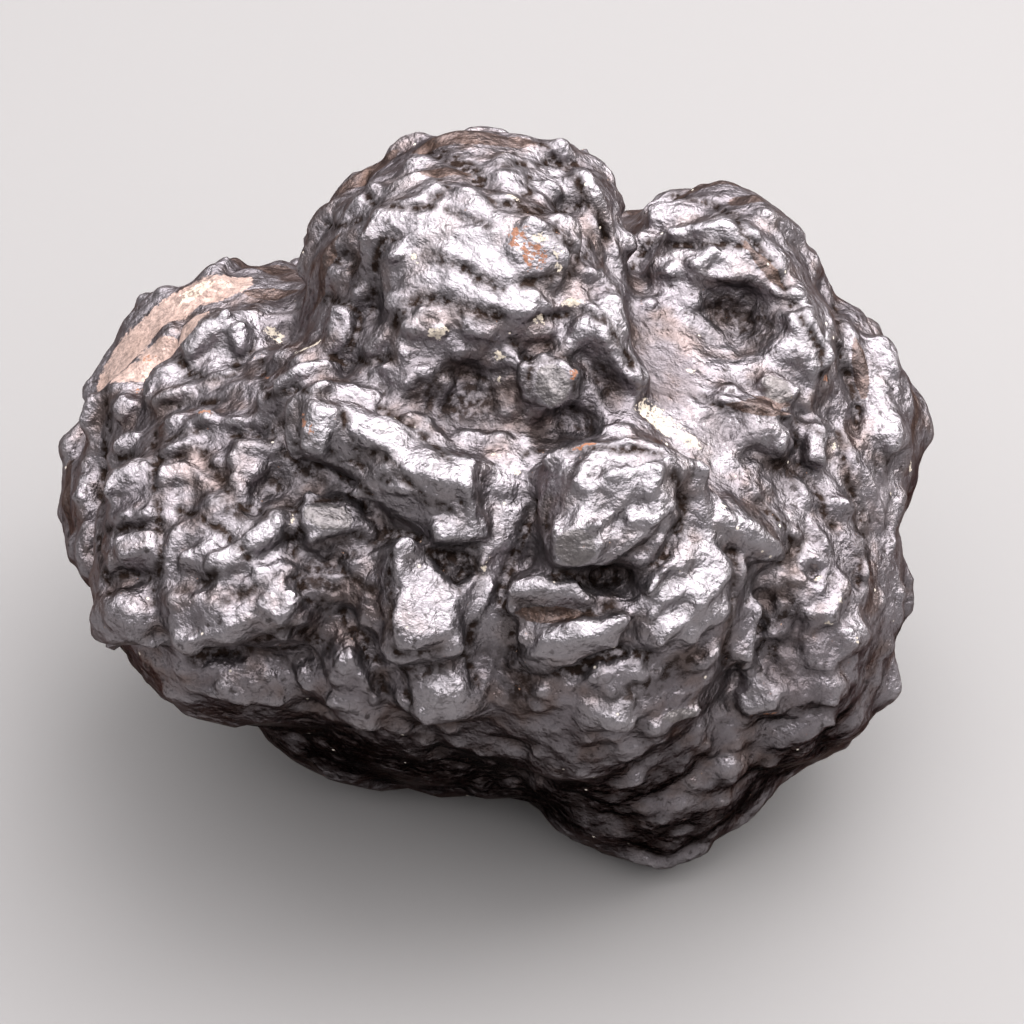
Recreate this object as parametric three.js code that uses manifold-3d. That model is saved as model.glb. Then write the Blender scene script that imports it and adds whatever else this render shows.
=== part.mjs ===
// A prophecy stone: an iron-oxide nodule in which many blocky crystals grew together into one solid.
// Millimetres, +Z up. The stone rests on z = 0 and its best side looks towards -Y.
import * as THREE from "three";
import { ImprovedNoise } from "three/addons/math/ImprovedNoise.js";
import { mergeVertices } from "three/addons/utils/BufferGeometryUtils.js";
import Module from "manifold-3d";

const wasm = await Module();
wasm.setup();

// Driving dimensions
const middleHeight = 17.5; // from the ground to the stone's middle
const middleForward = -2.2; // the middle lies this far in front of the box centre
const eyeElevation = 42; // degrees above the horizon, where the best side is seen from
const eyeDistance = 165; // from that eye to the stone's middle
const lobeBlend = 2.6; // how far two lobes flow into each other
const swellBlend = 1; // the same for the small swells
const waveHeight = 0.5; // long waves on the lobes, from their middle level
const waveLength = 7; // from one such wave to the next
const rayStart = 40; // rays towards the body start this far from its middle
const skinDetail = 54; // splits of each edge of the icosahedron that the skin is made from
const evenRounds = 6; // rounds that even out the skin's triangles
const skinTriangles = 9700; // triangles that the skin keeps once flat places are made plain
const spreadCount = 330; // crystals spread over the whole stone, of which the unseen sides keep theirs
const undersideFrom = -0.2; // a surface counts as underside when it faces down more than this
const undersideShare = 0.5; // share of a crystal's rise that is left there
const seatSpan = 1.2; // a crystal's seat is level over a stretch this long each way
const turnedToEye = 0.12; // a surface belongs to the best side when it faces the eye more than this
const crystalReach = 7; // no crystal reaches further than this from its place
const cellReach = 6; // the same for the small facets
const sunk = 0.4; // how deep the foot of a crystal sits in the body
const deepest = 1.3; // the body falls away at most this much under a crystal that still reaches it
const cellCount = 1000; // small facets that fill the places between the crystals
const cellLift = 0.35; // how far such a facet can stand out
const cellTilt = 0.22; // its steepest slope
const cellScatter = 0.7; // how far its place can be off an even spread
const sideTurn = 9; // degrees that a side of a crystal can be turned off square
const sideLean = 0.15; // share by which it can be steeper or flatter than its kind
const lidTilt = 0.08; // steepest slope of a crystal's lid, on top of its kind's
const spreadWide = [2.8, 5]; // least and greatest size of the spread crystals
const spreadTall = [2, 3.6];
const spreadRise = [0.7, 1.6];

// Even random numbers, the same on every run
let seed = 20;
function chance(low = 0, high = 1) {
  seed = (seed + 0x6d2b79f5) | 0;
  let t = Math.imul(seed ^ (seed >>> 15), 1 | seed);
  t = (t + Math.imul(t ^ (t >>> 7), 61 | t)) ^ t;
  return low + (((t ^ (t >>> 14)) >>> 0) / 2 ** 32) * (high - low);
}

const radians = THREE.MathUtils.degToRad;
const vector = (x, y, z) => new THREE.Vector3(x, y, z);
const middle = vector(0, middleForward, middleHeight);
const heart = vector(0, 4.5, -2).add(middle); // the whole surface can be reached straight from here
const viewRight = vector(1, 0, 0);
const viewUp = vector(0, Math.sin(radians(eyeElevation)), Math.cos(radians(eyeElevation)));
const towardsEye = viewRight.clone().cross(viewUp);
const eye = middle.clone().addScaledVector(towardsEye, eyeDistance);

// The lobes that the nodule swelled into: centre from the stone's middle, and half sizes
const lobes = [
  { name: "core", at: [0, 0, -1], half: [18, 14.5, 12.5] },
  { name: "crown", at: [-1.3, 5, 8], half: [8.6, 8.8, 8.8] },
  { name: "rightRear", at: [12, 7.2, 3.7], half: [6.2, 8, 8] },
  { name: "farRight", at: [17.9, 4.8, -0.6], half: [5.1, 6.8, 6.8] },
  { name: "leftRear", at: [-12.8, 7.6, 0.7], half: [6.8, 7.2, 6.1] },
  { name: "leftStrip", at: [-17.5, 3, -2.9], half: [5, 7, 7] },
  { name: "leftFront", at: [-12.3, -4, -1], half: [8.5, 9, 8.4] },
  { name: "frontCentre", at: [5.5, -6.8, -1.5], half: [6.8, 9.5, 9] },
  { name: "frontFoot", at: [8.2, -6.6, -10.2], half: [7.3, 7, 8] },
  { name: "rightFront", at: [15.2, -2.4, -5.8], half: [6.6, 8.8, 9.2] },
  { name: "base", at: [-2.7, 1, -8.6], half: [13.2, 11.8, 9.6] },
  { name: "rearFoot", at: [8, 9, -11], half: [6.2, 6.2, 6.8] },
  { name: "backLeft", at: [-8, 11.4, -4], half: [7.6, 7.6, 8] },
  { name: "backRight", at: [7.8, 11.6, -1.5], half: [8.4, 8.4, 8.6] },
];

// Swells and hollows of the best side, seen from the eye: place across and up, half sizes, turn, rise
const swells = [
  { name: "crownFace", at: [-1.5, 12.5], half: [5.2, 3.4], turn: -8, rise: 0.9 },
  { name: "crownShoulder", at: [4.8, 15.2], half: [2.8, 3.2], turn: 20, rise: 1 },
  { name: "crownLip", at: [-1.6, 9.4], half: [4.2, 2], turn: 5, rise: 0.7 },
  { name: "crownFoot", at: [-4.4, 6.2], half: [2.4, 2.4], turn: 0, rise: 1.1 },
  { name: "crownCheek", at: [5.6, 8], half: [1.9, 3.6], turn: 25, rise: 1.9 },
  { name: "tanShoulder", at: [-17.8, 7.8], half: [3.2, 2], turn: 45, rise: 0.2 },
  { name: "pyramidKnob", at: [-14, 7.4], half: [2.4, 2], turn: 10, rise: 1.4 },
  { name: "lensLedge", at: [-16, 5.1], half: [2.4, 0.9], turn: 5, rise: 1 },
  { name: "glossyRidge", at: [-9.8, 6], half: [2.6, 1], turn: 30, rise: 1.2 },
  { name: "slab", at: [-5.6, 2.2], half: [6, 1.9], turn: -38, rise: 1.5 },
  { name: "slabHead", at: [-8.8, 3.9], half: [2, 1.6], turn: -10, rise: 0.9 },
  { name: "knob", at: [6.2, -0.6], half: [4, 3.2], turn: 20, rise: 2.8 },
  { name: "ledgeBlock", at: [3.6, -6], half: [3.2, 2.6], turn: 8, rise: 1.2 },
  { name: "frontField", at: [10.2, -5], half: [3, 3.4], turn: 10, rise: 1.2 },
  { name: "longBlock", at: [13.6, -2.4], half: [2.8, 1.3], turn: -12, rise: 1 },
  { name: "rightMid", at: [16.4, 7.2], half: [3, 3.4], turn: 60, rise: 0.9 },
  { name: "rightArch", at: [14.8, 3], half: [3.4, 1.6], turn: 0, rise: 1 },
  { name: "leftCheek", at: [-18.6, -3], half: [2.2, 5.2], turn: 0, rise: 0.7 },
  { name: "leftPlates", at: [-13.8, -3], half: [3.6, 3], turn: 20, rise: 0.8 },
  { name: "ledgeRow", at: [-13, -6.4], half: [4.2, 1.4], turn: 8, rise: 1.1 },
  { name: "uprightCrystal", at: [-3.9, -5.6], half: [1.9, 3], turn: 0, rise: 1.1 },
  { name: "lowerKnob", at: [-2.6, -10.6], half: [2.2, 1.6], turn: -10, rise: 0.8 },
  { name: "lowerLeft", at: [-7.6, -10], half: [2, 2.4], turn: 0, rise: 0.8 },
];
const hollows = [
  { name: "underCrown", at: [-1, 4.4], half: [2.2, 2], turn: 0, depth: 1.2 },
  { name: "darkTriangle", at: [4, 3.8], half: [2, 1.2], turn: 15, depth: 1.5 },
  { name: "bowl", at: [12.9, 9.4], half: [3, 2.2], turn: -10, depth: 2 },
  { name: "sandyFloor", at: [9, 6.2], half: [2.4, 3.6], turn: -10, depth: 1.3 },
  { name: "crownGully", at: [7.6, 11.6], half: [0.9, 2.8], turn: 0, depth: 1 },
  { name: "tanGully", at: [-10.4, 9.6], half: [1.4, 2.6], turn: -15, depth: 1.2 },
  { name: "leftPocket", at: [-12.3, 0], half: [1.3, 1.2], turn: -30, depth: 1.1 },
  { name: "slabGully", at: [-6.6, -1.4], half: [4, 0.9], turn: -28, depth: 0.6 },
  { name: "gully", at: [1, -5], half: [1, 6], turn: -8, depth: 1.6 },
  { name: "cavity", at: [5.2, -4.7], half: [2.2, 0.7], turn: -4, depth: 1.8 },
  { name: "wedgeCavity", at: [-2.3, -3.9], half: [1.2, 0.9], turn: 20, depth: 1.4 },
  { name: "underRow", at: [-12.6, -9.2], half: [5, 0.9], turn: 4, depth: 0.9 },
  { name: "stripCrease", at: [-20.9, 0], half: [0.5, 5], turn: 4, depth: 1.3 },
  { name: "rightCrease", at: [20.1, -6.5], half: [0.5, 4.5], turn: -6, depth: 1 },
  { name: "rightNotch", at: [19.6, 4.8], half: [0.6, 3.6], turn: 10, depth: 1 },
  { name: "columnCrease", at: [-6.3, 11], half: [0.5, 3.4], turn: 0, depth: 0.8 },
  { name: "rightValley", at: [13.6, -6.5], half: [0.9, 3.6], turn: -10, depth: 1.1 },
];

const centres = lobes.map(({ at }) => vector(...at).add(middle));
const halves = lobes.map(({ half }) => vector(...half));

// About how far a point is outside an ellipsoid
function outsideBy(offset, half) {
  const scaled = offset.divide(half);
  const ratio = scaled.length();
  const steepness = scaled.divide(half).length();
  return steepness === 0 ? -half.x : (ratio * (ratio - 1)) / steepness;
}

// The smaller of two distances, with the corner between them rounded
function blendedMin(a, b, blend) {
  const share = THREE.MathUtils.clamp(0.5 + (0.5 * (b - a)) / blend, 0, 1);
  return b * (1 - share) + a * share - blend * share * (1 - share);
}

const bumps = []; // swells and hollows once they are placed on the lobes
const waves = new ImprovedNoise();

// About how far a point is outside the body
function bodyDistance(point) {
  let distance = Infinity;
  for (let index = 0; index < lobes.length; index++) {
    const lobe = outsideBy(point.clone().sub(centres[index]), halves[index]);
    distance = distance === Infinity ? lobe : blendedMin(distance, lobe, lobeBlend);
  }
  const [x, y, z] = point.clone().sub(middle).divideScalar(waveLength);
  distance += waveHeight * (0.5 + waves.noise(x, y, z));
  for (const { back, half, sign } of bumps) {
    const offset = point.clone().applyMatrix4(back);
    if (offset.length() > half.x + half.y + 3) continue;
    const bump = outsideBy(offset, half);
    distance =
      sign > 0
        ? blendedMin(distance, bump, swellBlend)
        : -blendedMin(-distance, bump, swellBlend);
  }
  return distance;
}

// The way out of the body at a point, taken over a stretch of it
function normalAt(point, step = 0.3) {
  const slope = (x, y, z) =>
    bodyDistance(point.clone().add(vector(x, y, z))) -
    bodyDistance(point.clone().sub(vector(x, y, z)));
  return vector(slope(step, 0, 0), slope(0, step, 0), slope(0, 0, step)).normalize();
}

// Where a ray from outside first meets the body, or the nearest place on it to a ray that misses
const closeEnough = 0.005;
const shortestStep = 0.01;
const stepShare = 0.7; // of the gap, which is only known roughly
function meet(from, direction) {
  const point = from.clone();
  const nearest = from.clone();
  let least = Infinity;
  while (least > closeEnough && point.distanceTo(from) < 2.5 * rayStart) {
    const gap = bodyDistance(point);
    if (gap < least) {
      least = gap;
      nearest.copy(point);
    }
    point.addScaledVector(direction, Math.max(stepShare * gap, shortestStep));
  }
  return nearest.addScaledVector(normalAt(nearest), -least);
}

// The point of the body that the eye sees at a place across and up from the middle
function seenAt(across, up) {
  const aim = middle.clone().addScaledVector(viewRight, across).addScaledVector(viewUp, up);
  const ray = aim.sub(eye).normalize();
  return meet(eye.clone().addScaledVector(ray, eyeDistance - rayStart), ray);
}

// A place on the body: origin on it, Z out of it, X turned from the viewer's right
function placeOn(point, normal, turn) {
  const along = viewRight
    .clone()
    .multiplyScalar(Math.cos(radians(turn)))
    .addScaledVector(viewUp, Math.sin(radians(turn)));
  along.addScaledVector(normal, -along.dot(normal)).normalize();
  const across = normal.clone().cross(along);
  return new THREE.Matrix4().makeBasis(along, across, normal).setPosition(point);
}

for (const { at, half, turn, rise, depth } of [...swells, ...hollows]) {
  const point = seenAt(...at);
  const place = placeOn(point, normalAt(point), turn);
  bumps.push({ back: place.invert(), half: vector(...half, rise ?? depth), sign: rise ? 1 : -1 });
}

// Crystal kinds: how far each side leans in, as a share of the size (right, upper, left, lower),
// and how much of the rise the lid loses from its lower to its upper edge
const kinds = {
  block: { lean: [0.16, 0.2, 0.16, 0.12], slope: 0.2 },
  ledge: { lean: [0.12, 0.2, 0.12, 0.1], slope: 0.75 },
  ridge: { lean: [0.22, 0.5, 0.22, 0.5], slope: 0 },
  peak: { lean: [0.5, 0.5, 0.5, 0.5], slope: 0 },
  plate: { lean: [0.07, 0.1, 0.07, 0.08], slope: 0.25 },
};

const grown = []; // every crystal placed so far

// One crystal on the body, held as the planes that bound it: height = level - x * alongX - y * alongY
function grow(kind, point, [wide, tall], turn, rise) {
  const { lean, slope } = kinds[kind];
  const planes = lean.map((share, side) => {
    const size = side % 2 ? tall : wide;
    const facing = radians(90 * side + chance(-sideTurn, sideTurn));
    const steep = rise / (share * size * chance(1 - sideLean, 1 + sideLean));
    const level = (steep * size) / 2;
    return { level, alongX: steep * Math.cos(facing), alongY: steep * Math.sin(facing) };
  });
  if (lean[1] < 0.5) {
    const fall = (slope * rise) / tall;
    planes.push({
      level: rise * (1 - slope / 2),
      alongX: chance(-lidTilt, lidTilt),
      alongY: fall + chance(-lidTilt, lidTilt),
    });
  }
  grown.push({ point, planes, back: placeOn(point, normalAt(point, seatSpan), turn).invert() });
}

// Crystals of the best side, seen from the eye: kind, place across and up, size, turn, rise
const crystals = [
  // crown, top ridge and left shoulder
  ["ridge", [-2, 18.4], [3, 2.2], 25, 0.4],
  ["ridge", [0.2, 18.9], [3.6, 2.6], 5, 0.9],
  ["block", [2, 18.1], [2.4, 2], -20, 1.1],
  ["block", [3.5, 18.1], [2, 2.2], -55, 0.9],
  ["block", [5.2, 16.8], [2.6, 2], -40, 0.8],
  ["ledge", [-4.6, 16], [3.2, 1.8], 6, 0.4],
  ["block", [-6.6, 15.6], [1.8, 1.8], 20, 0.5],
  ["block", [-8, 14.8], [2, 2.2], 60, 0.9],
  ["ledge", [-8.1, 13], [2.2, 1.6], 15, 0.8],
  ["block", [-7, 13.6], [1.6, 1.6], 30, 0.6],
  ["block", [-8.3, 11.4], [1.6, 2.2], 90, 0.7],
  ["plate", [-7.8, 8.6], [1.4, 2.8], -6, 1.1],
  ["block", [-6.7, 10.6], [1.4, 1.8], 0, 0.6],
  ["ledge", [-6.6, 8.2], [1.6, 1.4], 20, 0.7],
  ["peak", [-5, 12.5], [2, 1.6], 10, 0.8],
  // crown, its face and lip
  ["ridge", [-4.6, 14.9], [4.4, 1.4], 22, 0.6],
  ["ridge", [1, 15], [5, 1.5], -8, 0.7],
  ["plate", [-2.8, 13.2], [4, 2.2], -12, 0.5],
  ["plate", [0.2, 11.2], [4.4, 2], -18, 0.5],
  ["plate", [2.3, 12.8], [4, 3], -14, 0.9],
  ["block", [-4.3, 8.9], [1.5, 1.7], 0, 1],
  ["block", [-2.8, 8.2], [1.5, 1.5], -15, 1],
  ["ledge", [-0.6, 8.7], [3, 1.8], 12, 0.9],
  ["peak", [3, 16.1], [2.8, 2.4], -8, 1],
  ["block", [1, 16.6], [2, 1.6], 10, 0.7],
  ["block", [5, 15.2], [2.6, 3.2], 20, 0.7],
  ["ridge", [6.5, 14.2], [3.8, 1.1], -72, 0.8],
  ["block", [3.4, 14.4], [2, 1.3], -25, 0.5],
  ["ridge", [6.3, 12.4], [1.8, 1], -60, 0.9],
  ["block", [4.4, 11], [2, 1.6], -30, 0.7],
  ["block", [5.6, 10.8], [1.4, 1.6], -60, 0.6],
  // crown, its cheek over the hollow
  ["ledge", [4.9, 8.8], [3, 2.2], 8, 0.9],
  ["block", [6.4, 8.6], [1.4, 2], 20, 0.7],
  ["plate", [3.1, 5.7], [2.2, 2.6], -10, 1.6],
  ["ridge", [6.6, 6.6], [5.4, 1.8], -64, 1.3],
  ["block", [2.6, 8.4], [1.6, 1.4], 10, 0.7],
  ["block", [0.6, 7.2], [1.5, 1.3], -20, 0.7],
  ["block", [-4.6, 6.2], [1.8, 2], 30, 0.7],
  ["block", [-3.1, 5.1], [1.6, 1.8], 0, 0.7],
  ["block", [-0.2, 4.6], [2.2, 1.8], 15, 0.8],
  ["block", [1.2, 5.6], [1.8, 1.8], -25, 0.6],
  // left rear, tan shoulder and knobs in front of it
  ["plate", [-18.6, 7.6], [4.6, 2.6], 42, 0.3],
  ["plate", [-15.6, 10.4], [3.4, 2], 28, 0.4],
  ["block", [-12.9, 11.4], [2.8, 2], 5, 0.4],
  ["peak", [-13.9, 8.1], [4, 3.4], 8, 1.4],
  ["block", [-16.9, 8.1], [1.6, 1.4], 30, 0.7],
  ["block", [-16.2, 6.7], [1.6, 1.2], 20, 0.7],
  ["ledge", [-16, 5.2], [4, 1.6], 4, 0.9],
  ["block", [-19.2, 4.2], [2, 2], 0, 1],
  ["ledge", [-13, 5.5], [2.4, 1.5], -10, 0.8],
  ["ledge", [-16.5, 3.6], [1.7, 1.5], 5, 0.9],
  ["ledge", [-14.9, 3.7], [1.7, 1.4], 0, 0.9],
  ["ledge", [-13.1, 3.7], [2, 1.4], -5, 0.8],
  ["block", [-10.8, 9], [2, 1.4], 12, 0.7],
  ["ledge", [-10.9, 6.9], [2.2, 1.7], 10, 0.8],
  ["ridge", [-9.5, 6], [4.6, 1.6], 32, 1],
  ["ledge", [-10.6, 5.2], [3, 1.2], 12, 0.8],
  // the long slab that runs down to the centre
  ["block", [-9.6, 3.6], [2, 3], 8, 1.2],
  ["ledge", [-6.6, 3.4], [3.4, 2.4], -20, 1],
  ["block", [-7, 5.2], [2.6, 1.4], 25, 0.7],
  ["ledge", [-3.2, 1], [4.2, 2.4], -18, 1],
  ["ridge", [-6.4, 1.1], [4.8, 1.5], -32, 0.9],
  ["block", [-0.8, 1.5], [2.4, 1.6], -10, 0.6],
  ["block", [-2.3, -1.6], [2.8, 1.7], -6, 0.9],
  ["block", [-4.7, -0.8], [2.2, 1.6], -30, 0.7],
  // left front
  ["block", [-19.4, 1.9], [2.2, 1.8], 10, 0.8],
  ["block", [-19.8, 0.3], [1.7, 1.7], 60, 0.8],
  ["ledge", [-16.4, 0.9], [3.4, 2.2], -14, 0.8],
  ["ledge", [-13, 1.5], [2.2, 2.2], 30, 1],
  ["block", [-14.2, -0.9], [2.4, 1.6], 20, 0.6],
  ["ledge", [-19.1, -1.3], [2.8, 1.4], -10, 0.7],
  ["ledge", [-19, -2.9], [2.8, 2], 5, 1.1],
  ["block", [-19.4, -6.5], [3.2, 2.3], 5, 1.2],
  ["ridge", [-17.2, -3.1], [2.4, 1], 78, 0.8],
  ["block", [-16.9, -5.3], [1.7, 1.6], 20, 0.7],
  ["ledge", [-13.1, -2.8], [4.6, 2], 28, 1],
  ["ledge", [-15.6, -1.9], [2.4, 1.5], 15, 0.7],
  ["plate", [-11.6, -4.6], [3, 2], 24, 0.8],
  ["ledge", [-11.2, -1.4], [1.8, 1.6], 30, 0.7],
  ["block", [-8.4, -1.6], [3.2, 2.4], 16, 1.4],
  ["ledge", [-15.9, -7.7], [1.8, 1.4], 12, 0.9],
  ["block", [-14.3, -6.8], [1.8, 2], 80, 1],
  ["peak", [-11.1, -6.3], [3.4, 2.4], -12, 1.1],
  ["block", [-8.6, -5], [2, 1.8], -20, 0.7],
  ["block", [-7, -5], [1.8, 1.6], 15, 0.8],
  ["ridge", [-7.6, -3.9], [2.6, 1], 28, 0.7],
  ["ridge", [-5, -5.2], [5.6, 1.3], 88, 1.1],
  ["ledge", [-3.4, -6.4], [2.8, 4], 4, 1],
  ["peak", [-7.5, -8.9], [2.4, 3.4], 15, 1.1],
  ["block", [-9.3, -9.6], [2, 2], -25, 0.6],
  ["ledge", [-6.6, -11.6], [3, 2.2], -18, 0.7],
  ["ledge", [-2.4, -10.8], [3.4, 2.4], -10, 0.9],
  ["block", [-12.6, -10.2], [3.6, 2], -12, 0.5],
  ["ridge", [-1.1, -4.7], [3.6, 1.1], 48, 0.7],
  // central knob and the ledges under it
  ["plate", [4.4, -3], [2.6, 2.4], 12, 1],
  ["ridge", [7.7, 0.5], [3, 1.1], 36, 0.8],
  ["ridge", [8.7, -1.2], [2.6, 1.2], 30, 0.9],
  ["ridge", [6.9, -2.8], [3, 1.1], 42, 0.9],
  ["block", [4.9, 0.9], [2.4, 1.8], 20, 0.6],
  ["block", [4.6, -1], [2, 1.6], 10, 0.6],
  ["ridge", [6.3, 2.2], [5, 1.2], -4, 0.7],
  ["ledge", [2.8, -5.2], [4.4, 1.7], -4, 1.1],
  ["ledge", [4.7, -7.6], [3.6, 1.8], 10, 1.1],
  ["ledge", [2.3, -8.7], [2.2, 1.3], 22, 0.8],
  ["block", [1.3, -6.2], [1.2, 1.6], 0, 0.7],
  ["block", [8.3, -4.3], [1.5, 1.4], 0, 0.9],
  ["ledge", [9.4, -6.6], [2.8, 2], 12, 0.7],
  ["ledge", [11, -5.6], [2.4, 3], 20, 0.8],
  ["block", [10.4, -3.4], [2.6, 1.8], -20, 0.6],
  ["peak", [12.6, -4.2], [2.6, 2.2], 30, 1.2],
  ["ridge", [12, -7.4], [3.8, 1.1], 72, 0.8],
  ["block", [6, -11.4], [2.8, 1.8], 10, 0.7],
  ["block", [2.7, -10.6], [1.8, 1.6], 20, 0.5],
  ["block", [6, -9.7], [2.4, 1.4], -10, 0.5],
  // right rear lobe
  ["block", [8.9, 15.5], [3, 2.2], 20, 1.3],
  ["block", [13.4, 15.3], [2.6, 2], -4, 0.6],
  ["ridge", [11.3, 13.5], [4.4, 1.4], 6, 0.8],
  ["block", [7.9, 13.3], [1.4, 1.4], 0, 0.9],
  ["block", [11.6, 12.6], [3, 1.2], 8, 0.5],
  ["ridge", [14.2, 12.8], [4, 1.2], -50, 0.8],
  ["block", [14.4, 13.5], [1.6, 1.6], 20, 0.6],
  ["block", [16.5, 11.9], [2, 2.2], 50, 1],
  ["block", [15.1, 11.6], [1.4, 1.2], -20, 0.7],
  ["block", [16, 10.4], [1.2, 1.2], 0, 0.8],
  ["block", [16.1, 8.9], [1.8, 1.6], 20, 0.8],
  ["ridge", [12.4, 11.6], [5, 1.1], -4, 0.9],
  ["block", [8.6, 11.3], [1.8, 1.4], -20, 0.7],
  ["block", [7.2, 10.9], [1.6, 1.5], 15, 0.7],
  ["block", [7.9, 9.6], [1.6, 1.4], -10, 0.6],
  ["plate", [16.2, 7.2], [3, 2.4], -22, 0.6],
  ["ridge", [18.9, 7], [4.4, 1.2], -75, 1],
  ["ledge", [15, 5.5], [2.4, 1.6], -12, 0.8],
  ["block", [16.4, 4.8], [1.4, 1.2], -20, 0.7],
  ["ridge", [12.8, 4.5], [3, 1], -6, 0.7],
  // far right
  ["block", [18.8, 9.2], [1.8, 2], 50, 0.7],
  ["block", [20.6, 7.3], [2.2, 1.8], -35, 0.9],
  ["ridge", [21.6, 5.2], [2.8, 1.1], -75, 0.8],
  ["ledge", [21, 3.4], [2.2, 2.6], -10, 1],
  ["block", [21.2, -0.6], [2, 1.8], 70, 0.7],
  // right front
  ["ledge", [14.6, 3.1], [3.2, 2], -20, 0.9],
  ["ledge", [16.9, 2.7], [1.6, 2.4], 0, 0.9],
  ["ridge", [18.4, 2], [3.2, 0.9], -80, 0.7],
  ["ledge", [11.2, 0.6], [3.2, 2], -10, 0.6],
  ["ledge", [13.8, 0.6], [2.4, 1.8], 15, 0.6],
  ["ridge", [13.7, -2.2], [4.8, 1.9], -14, 1],
  ["ridge", [16.4, 0], [2.4, 1.1], -65, 0.8],
  ["ledge", [18, -0.8], [2.2, 1.3], 8, 0.8],
  ["ledge", [17, -3.3], [2.4, 1.3], -25, 0.8],
  ["block", [15.2, -5.4], [2.2, 1.8], 20, 0.8],
  ["block", [17.2, -5.6], [1.8, 1.8], -20, 0.8],
  ["block", [18.6, -7.6], [2.2, 2], 30, 0.9],
  ["plate", [13.6, -7.8], [1.6, 2.8], -4, 0.7],
  ["block", [15.8, -8], [1.8, 2], -10, 0.7],
  ["block", [14.4, -10.5], [2.2, 1.8], 10, 0.9],
  ["block", [17.7, -10.2], [2, 1.8], -15, 0.9],
  ["block", [16.2, -12.4], [2.4, 1.6], 20, 0.7],
  ["block", [12.6, -14.5], [2, 1.6], 15, 0.7],
];

for (const [kind, at, size, turn, rise] of crystals) grow(kind, seenAt(...at), size, turn, rise);

const goldenTurn = Math.PI * (3 - Math.sqrt(5));
// One of many directions spread evenly around the middle
function evenDirection(i, count) {
  const height = 1 - (2 * (i + 0.5)) / count;
  const flat = Math.sqrt(1 - height * height);
  return vector(flat * Math.cos(i * goldenTurn), flat * Math.sin(i * goldenTurn), height);
}

function surfaceTowards(direction) {
  return meet(heart.clone().addScaledVector(direction, rayStart), direction.clone().negate());
}

// Crystals of the other sides, spread evenly and turned at random
const spreadKinds = ["block", "ledge", "ridge", "peak", "block", "ledge", "plate"];
for (let i = 0; i < spreadCount; i++) {
  const point = surfaceTowards(evenDirection(i, spreadCount));
  const facing = normalAt(point).dot(eye.clone().sub(point).normalize());
  if (facing > turnedToEye) continue;
  const kind = spreadKinds[Math.floor(chance(0, spreadKinds.length))];
  const size = [chance(...spreadWide), chance(...spreadTall)];
  const worn = normalAt(point).z < undersideFrom ? undersideShare : 1;
  grow(kind, point, size, chance(0, 360), chance(...spreadRise) * worn);
}

const anyWay = () => vector(chance(-1, 1), chance(-1, 1), chance(-1, 1));

// The small facets, each a tilted plane around its own place
const cells = [];
for (let i = 0; i < cellCount; i++) {
  const point = surfaceTowards(evenDirection(i, cellCount));
  point.addScaledVector(anyWay(), cellScatter);
  const tilt = anyWay().multiplyScalar(cellTilt);
  cells.push({ point, tilt, lift: chance(0, cellLift) });
}

// The highest face over a place on the body: how high it is, and which face
function topFace(place, nearCrystals, nearCells) {
  let best = null;
  let nearest = Infinity;
  for (const cell of nearCells) {
    const apart = cell.point.distanceToSquared(place);
    if (apart < nearest) {
      nearest = apart;
      best = { height: cell.lift + cell.tilt.dot(place.clone().sub(cell.point)), face: cell };
    }
  }
  for (const { back, planes } of nearCrystals) {
    const local = place.clone().applyMatrix4(back);
    let height = Infinity;
    let face = null;
    for (const plane of planes) {
      const level = plane.level - local.x * plane.alongX - local.y * plane.alongY;
      if (level < height) {
        height = level;
        face = plane;
      }
    }
    const touches = height > -sunk && Math.abs(local.z) < deepest;
    if (touches && height - local.z > best.height) best = { height: height - local.z, face };
  }
  return best;
}

// A closed ball of even triangles, shrunk onto the body, whose corners drift apart evenly
const driftShare = 0.6;
const skin = shareCorners(new THREE.IcosahedronGeometry(1, skinDetail));
const index = skin.getIndex().array;
const places = [];
for (let i = 0; i < skin.getAttribute("position").count; i++) {
  const direction = vector(0, 0, 0).fromBufferAttribute(skin.getAttribute("position"), i);
  places.push(surfaceTowards(direction.normalize()));
}
const neighbours = places.map(() => new Set());
for (let i = 0; i < index.length; i += 3) {
  for (let k = 0; k < 3; k++) neighbours[index[i + k]].add(index[i + ((k + 1) % 3)]);
}
for (let round = 0; round < evenRounds; round++) {
  const next = places.map((place, i) => {
    const average = vector(0, 0, 0);
    for (const other of neighbours[i]) average.addScaledVector(places[other], 1 / neighbours[i].size);
    const moved = place.clone().lerp(average, driftShare);
    return moved.addScaledVector(normalAt(moved), -bodyDistance(moved));
  });
  next.forEach((place, i) => places[i].copy(place));
}

// The faces that can matter at each corner of the skin
const isNear = (reach, place) => (other) => other.point.distanceTo(place) < reach;
const nearCrystals = places.map((place) => grown.filter(isNear(crystalReach, place)));
const nearCells = places.map((place) => cells.filter(isNear(cellReach, place)));
const faceOver = (place, i) => topFace(place, nearCrystals[i], nearCells[i]);

// Corners close to an edge between two faces move onto that edge, which is found by halving
const halvings = 6;
const moves = [];
for (let i = 0; i < places.length; i++) {
  const own = faceOver(places[i], i).face;
  for (const other of neighbours[i]) {
    if (faceOver(places[other], i).face === own) continue;
    let low = 0;
    let high = 1;
    for (let halving = 0; halving < halvings; halving++) {
      const share = (low + high) / 2;
      const between = places[i].clone().lerp(places[other], share);
      if (faceOver(between, i).face === own) low = share;
      else high = share;
    }
    if (low < 0.5) moves.push({ i, share: low, to: places[i].clone().lerp(places[other], low) });
  }
}
moves.sort((a, b) => a.share - b.share);
const moved = new Set();
for (const { i, to } of moves) {
  if (moved.has(i)) continue;
  moved.add(i);
  places[i].copy(to);
}

const raised = places.map((place, i) =>
  place.clone().addScaledVector(normalAt(place, seatSpan), Math.max(faceOver(place, i).height, -sunk)),
);

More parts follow.
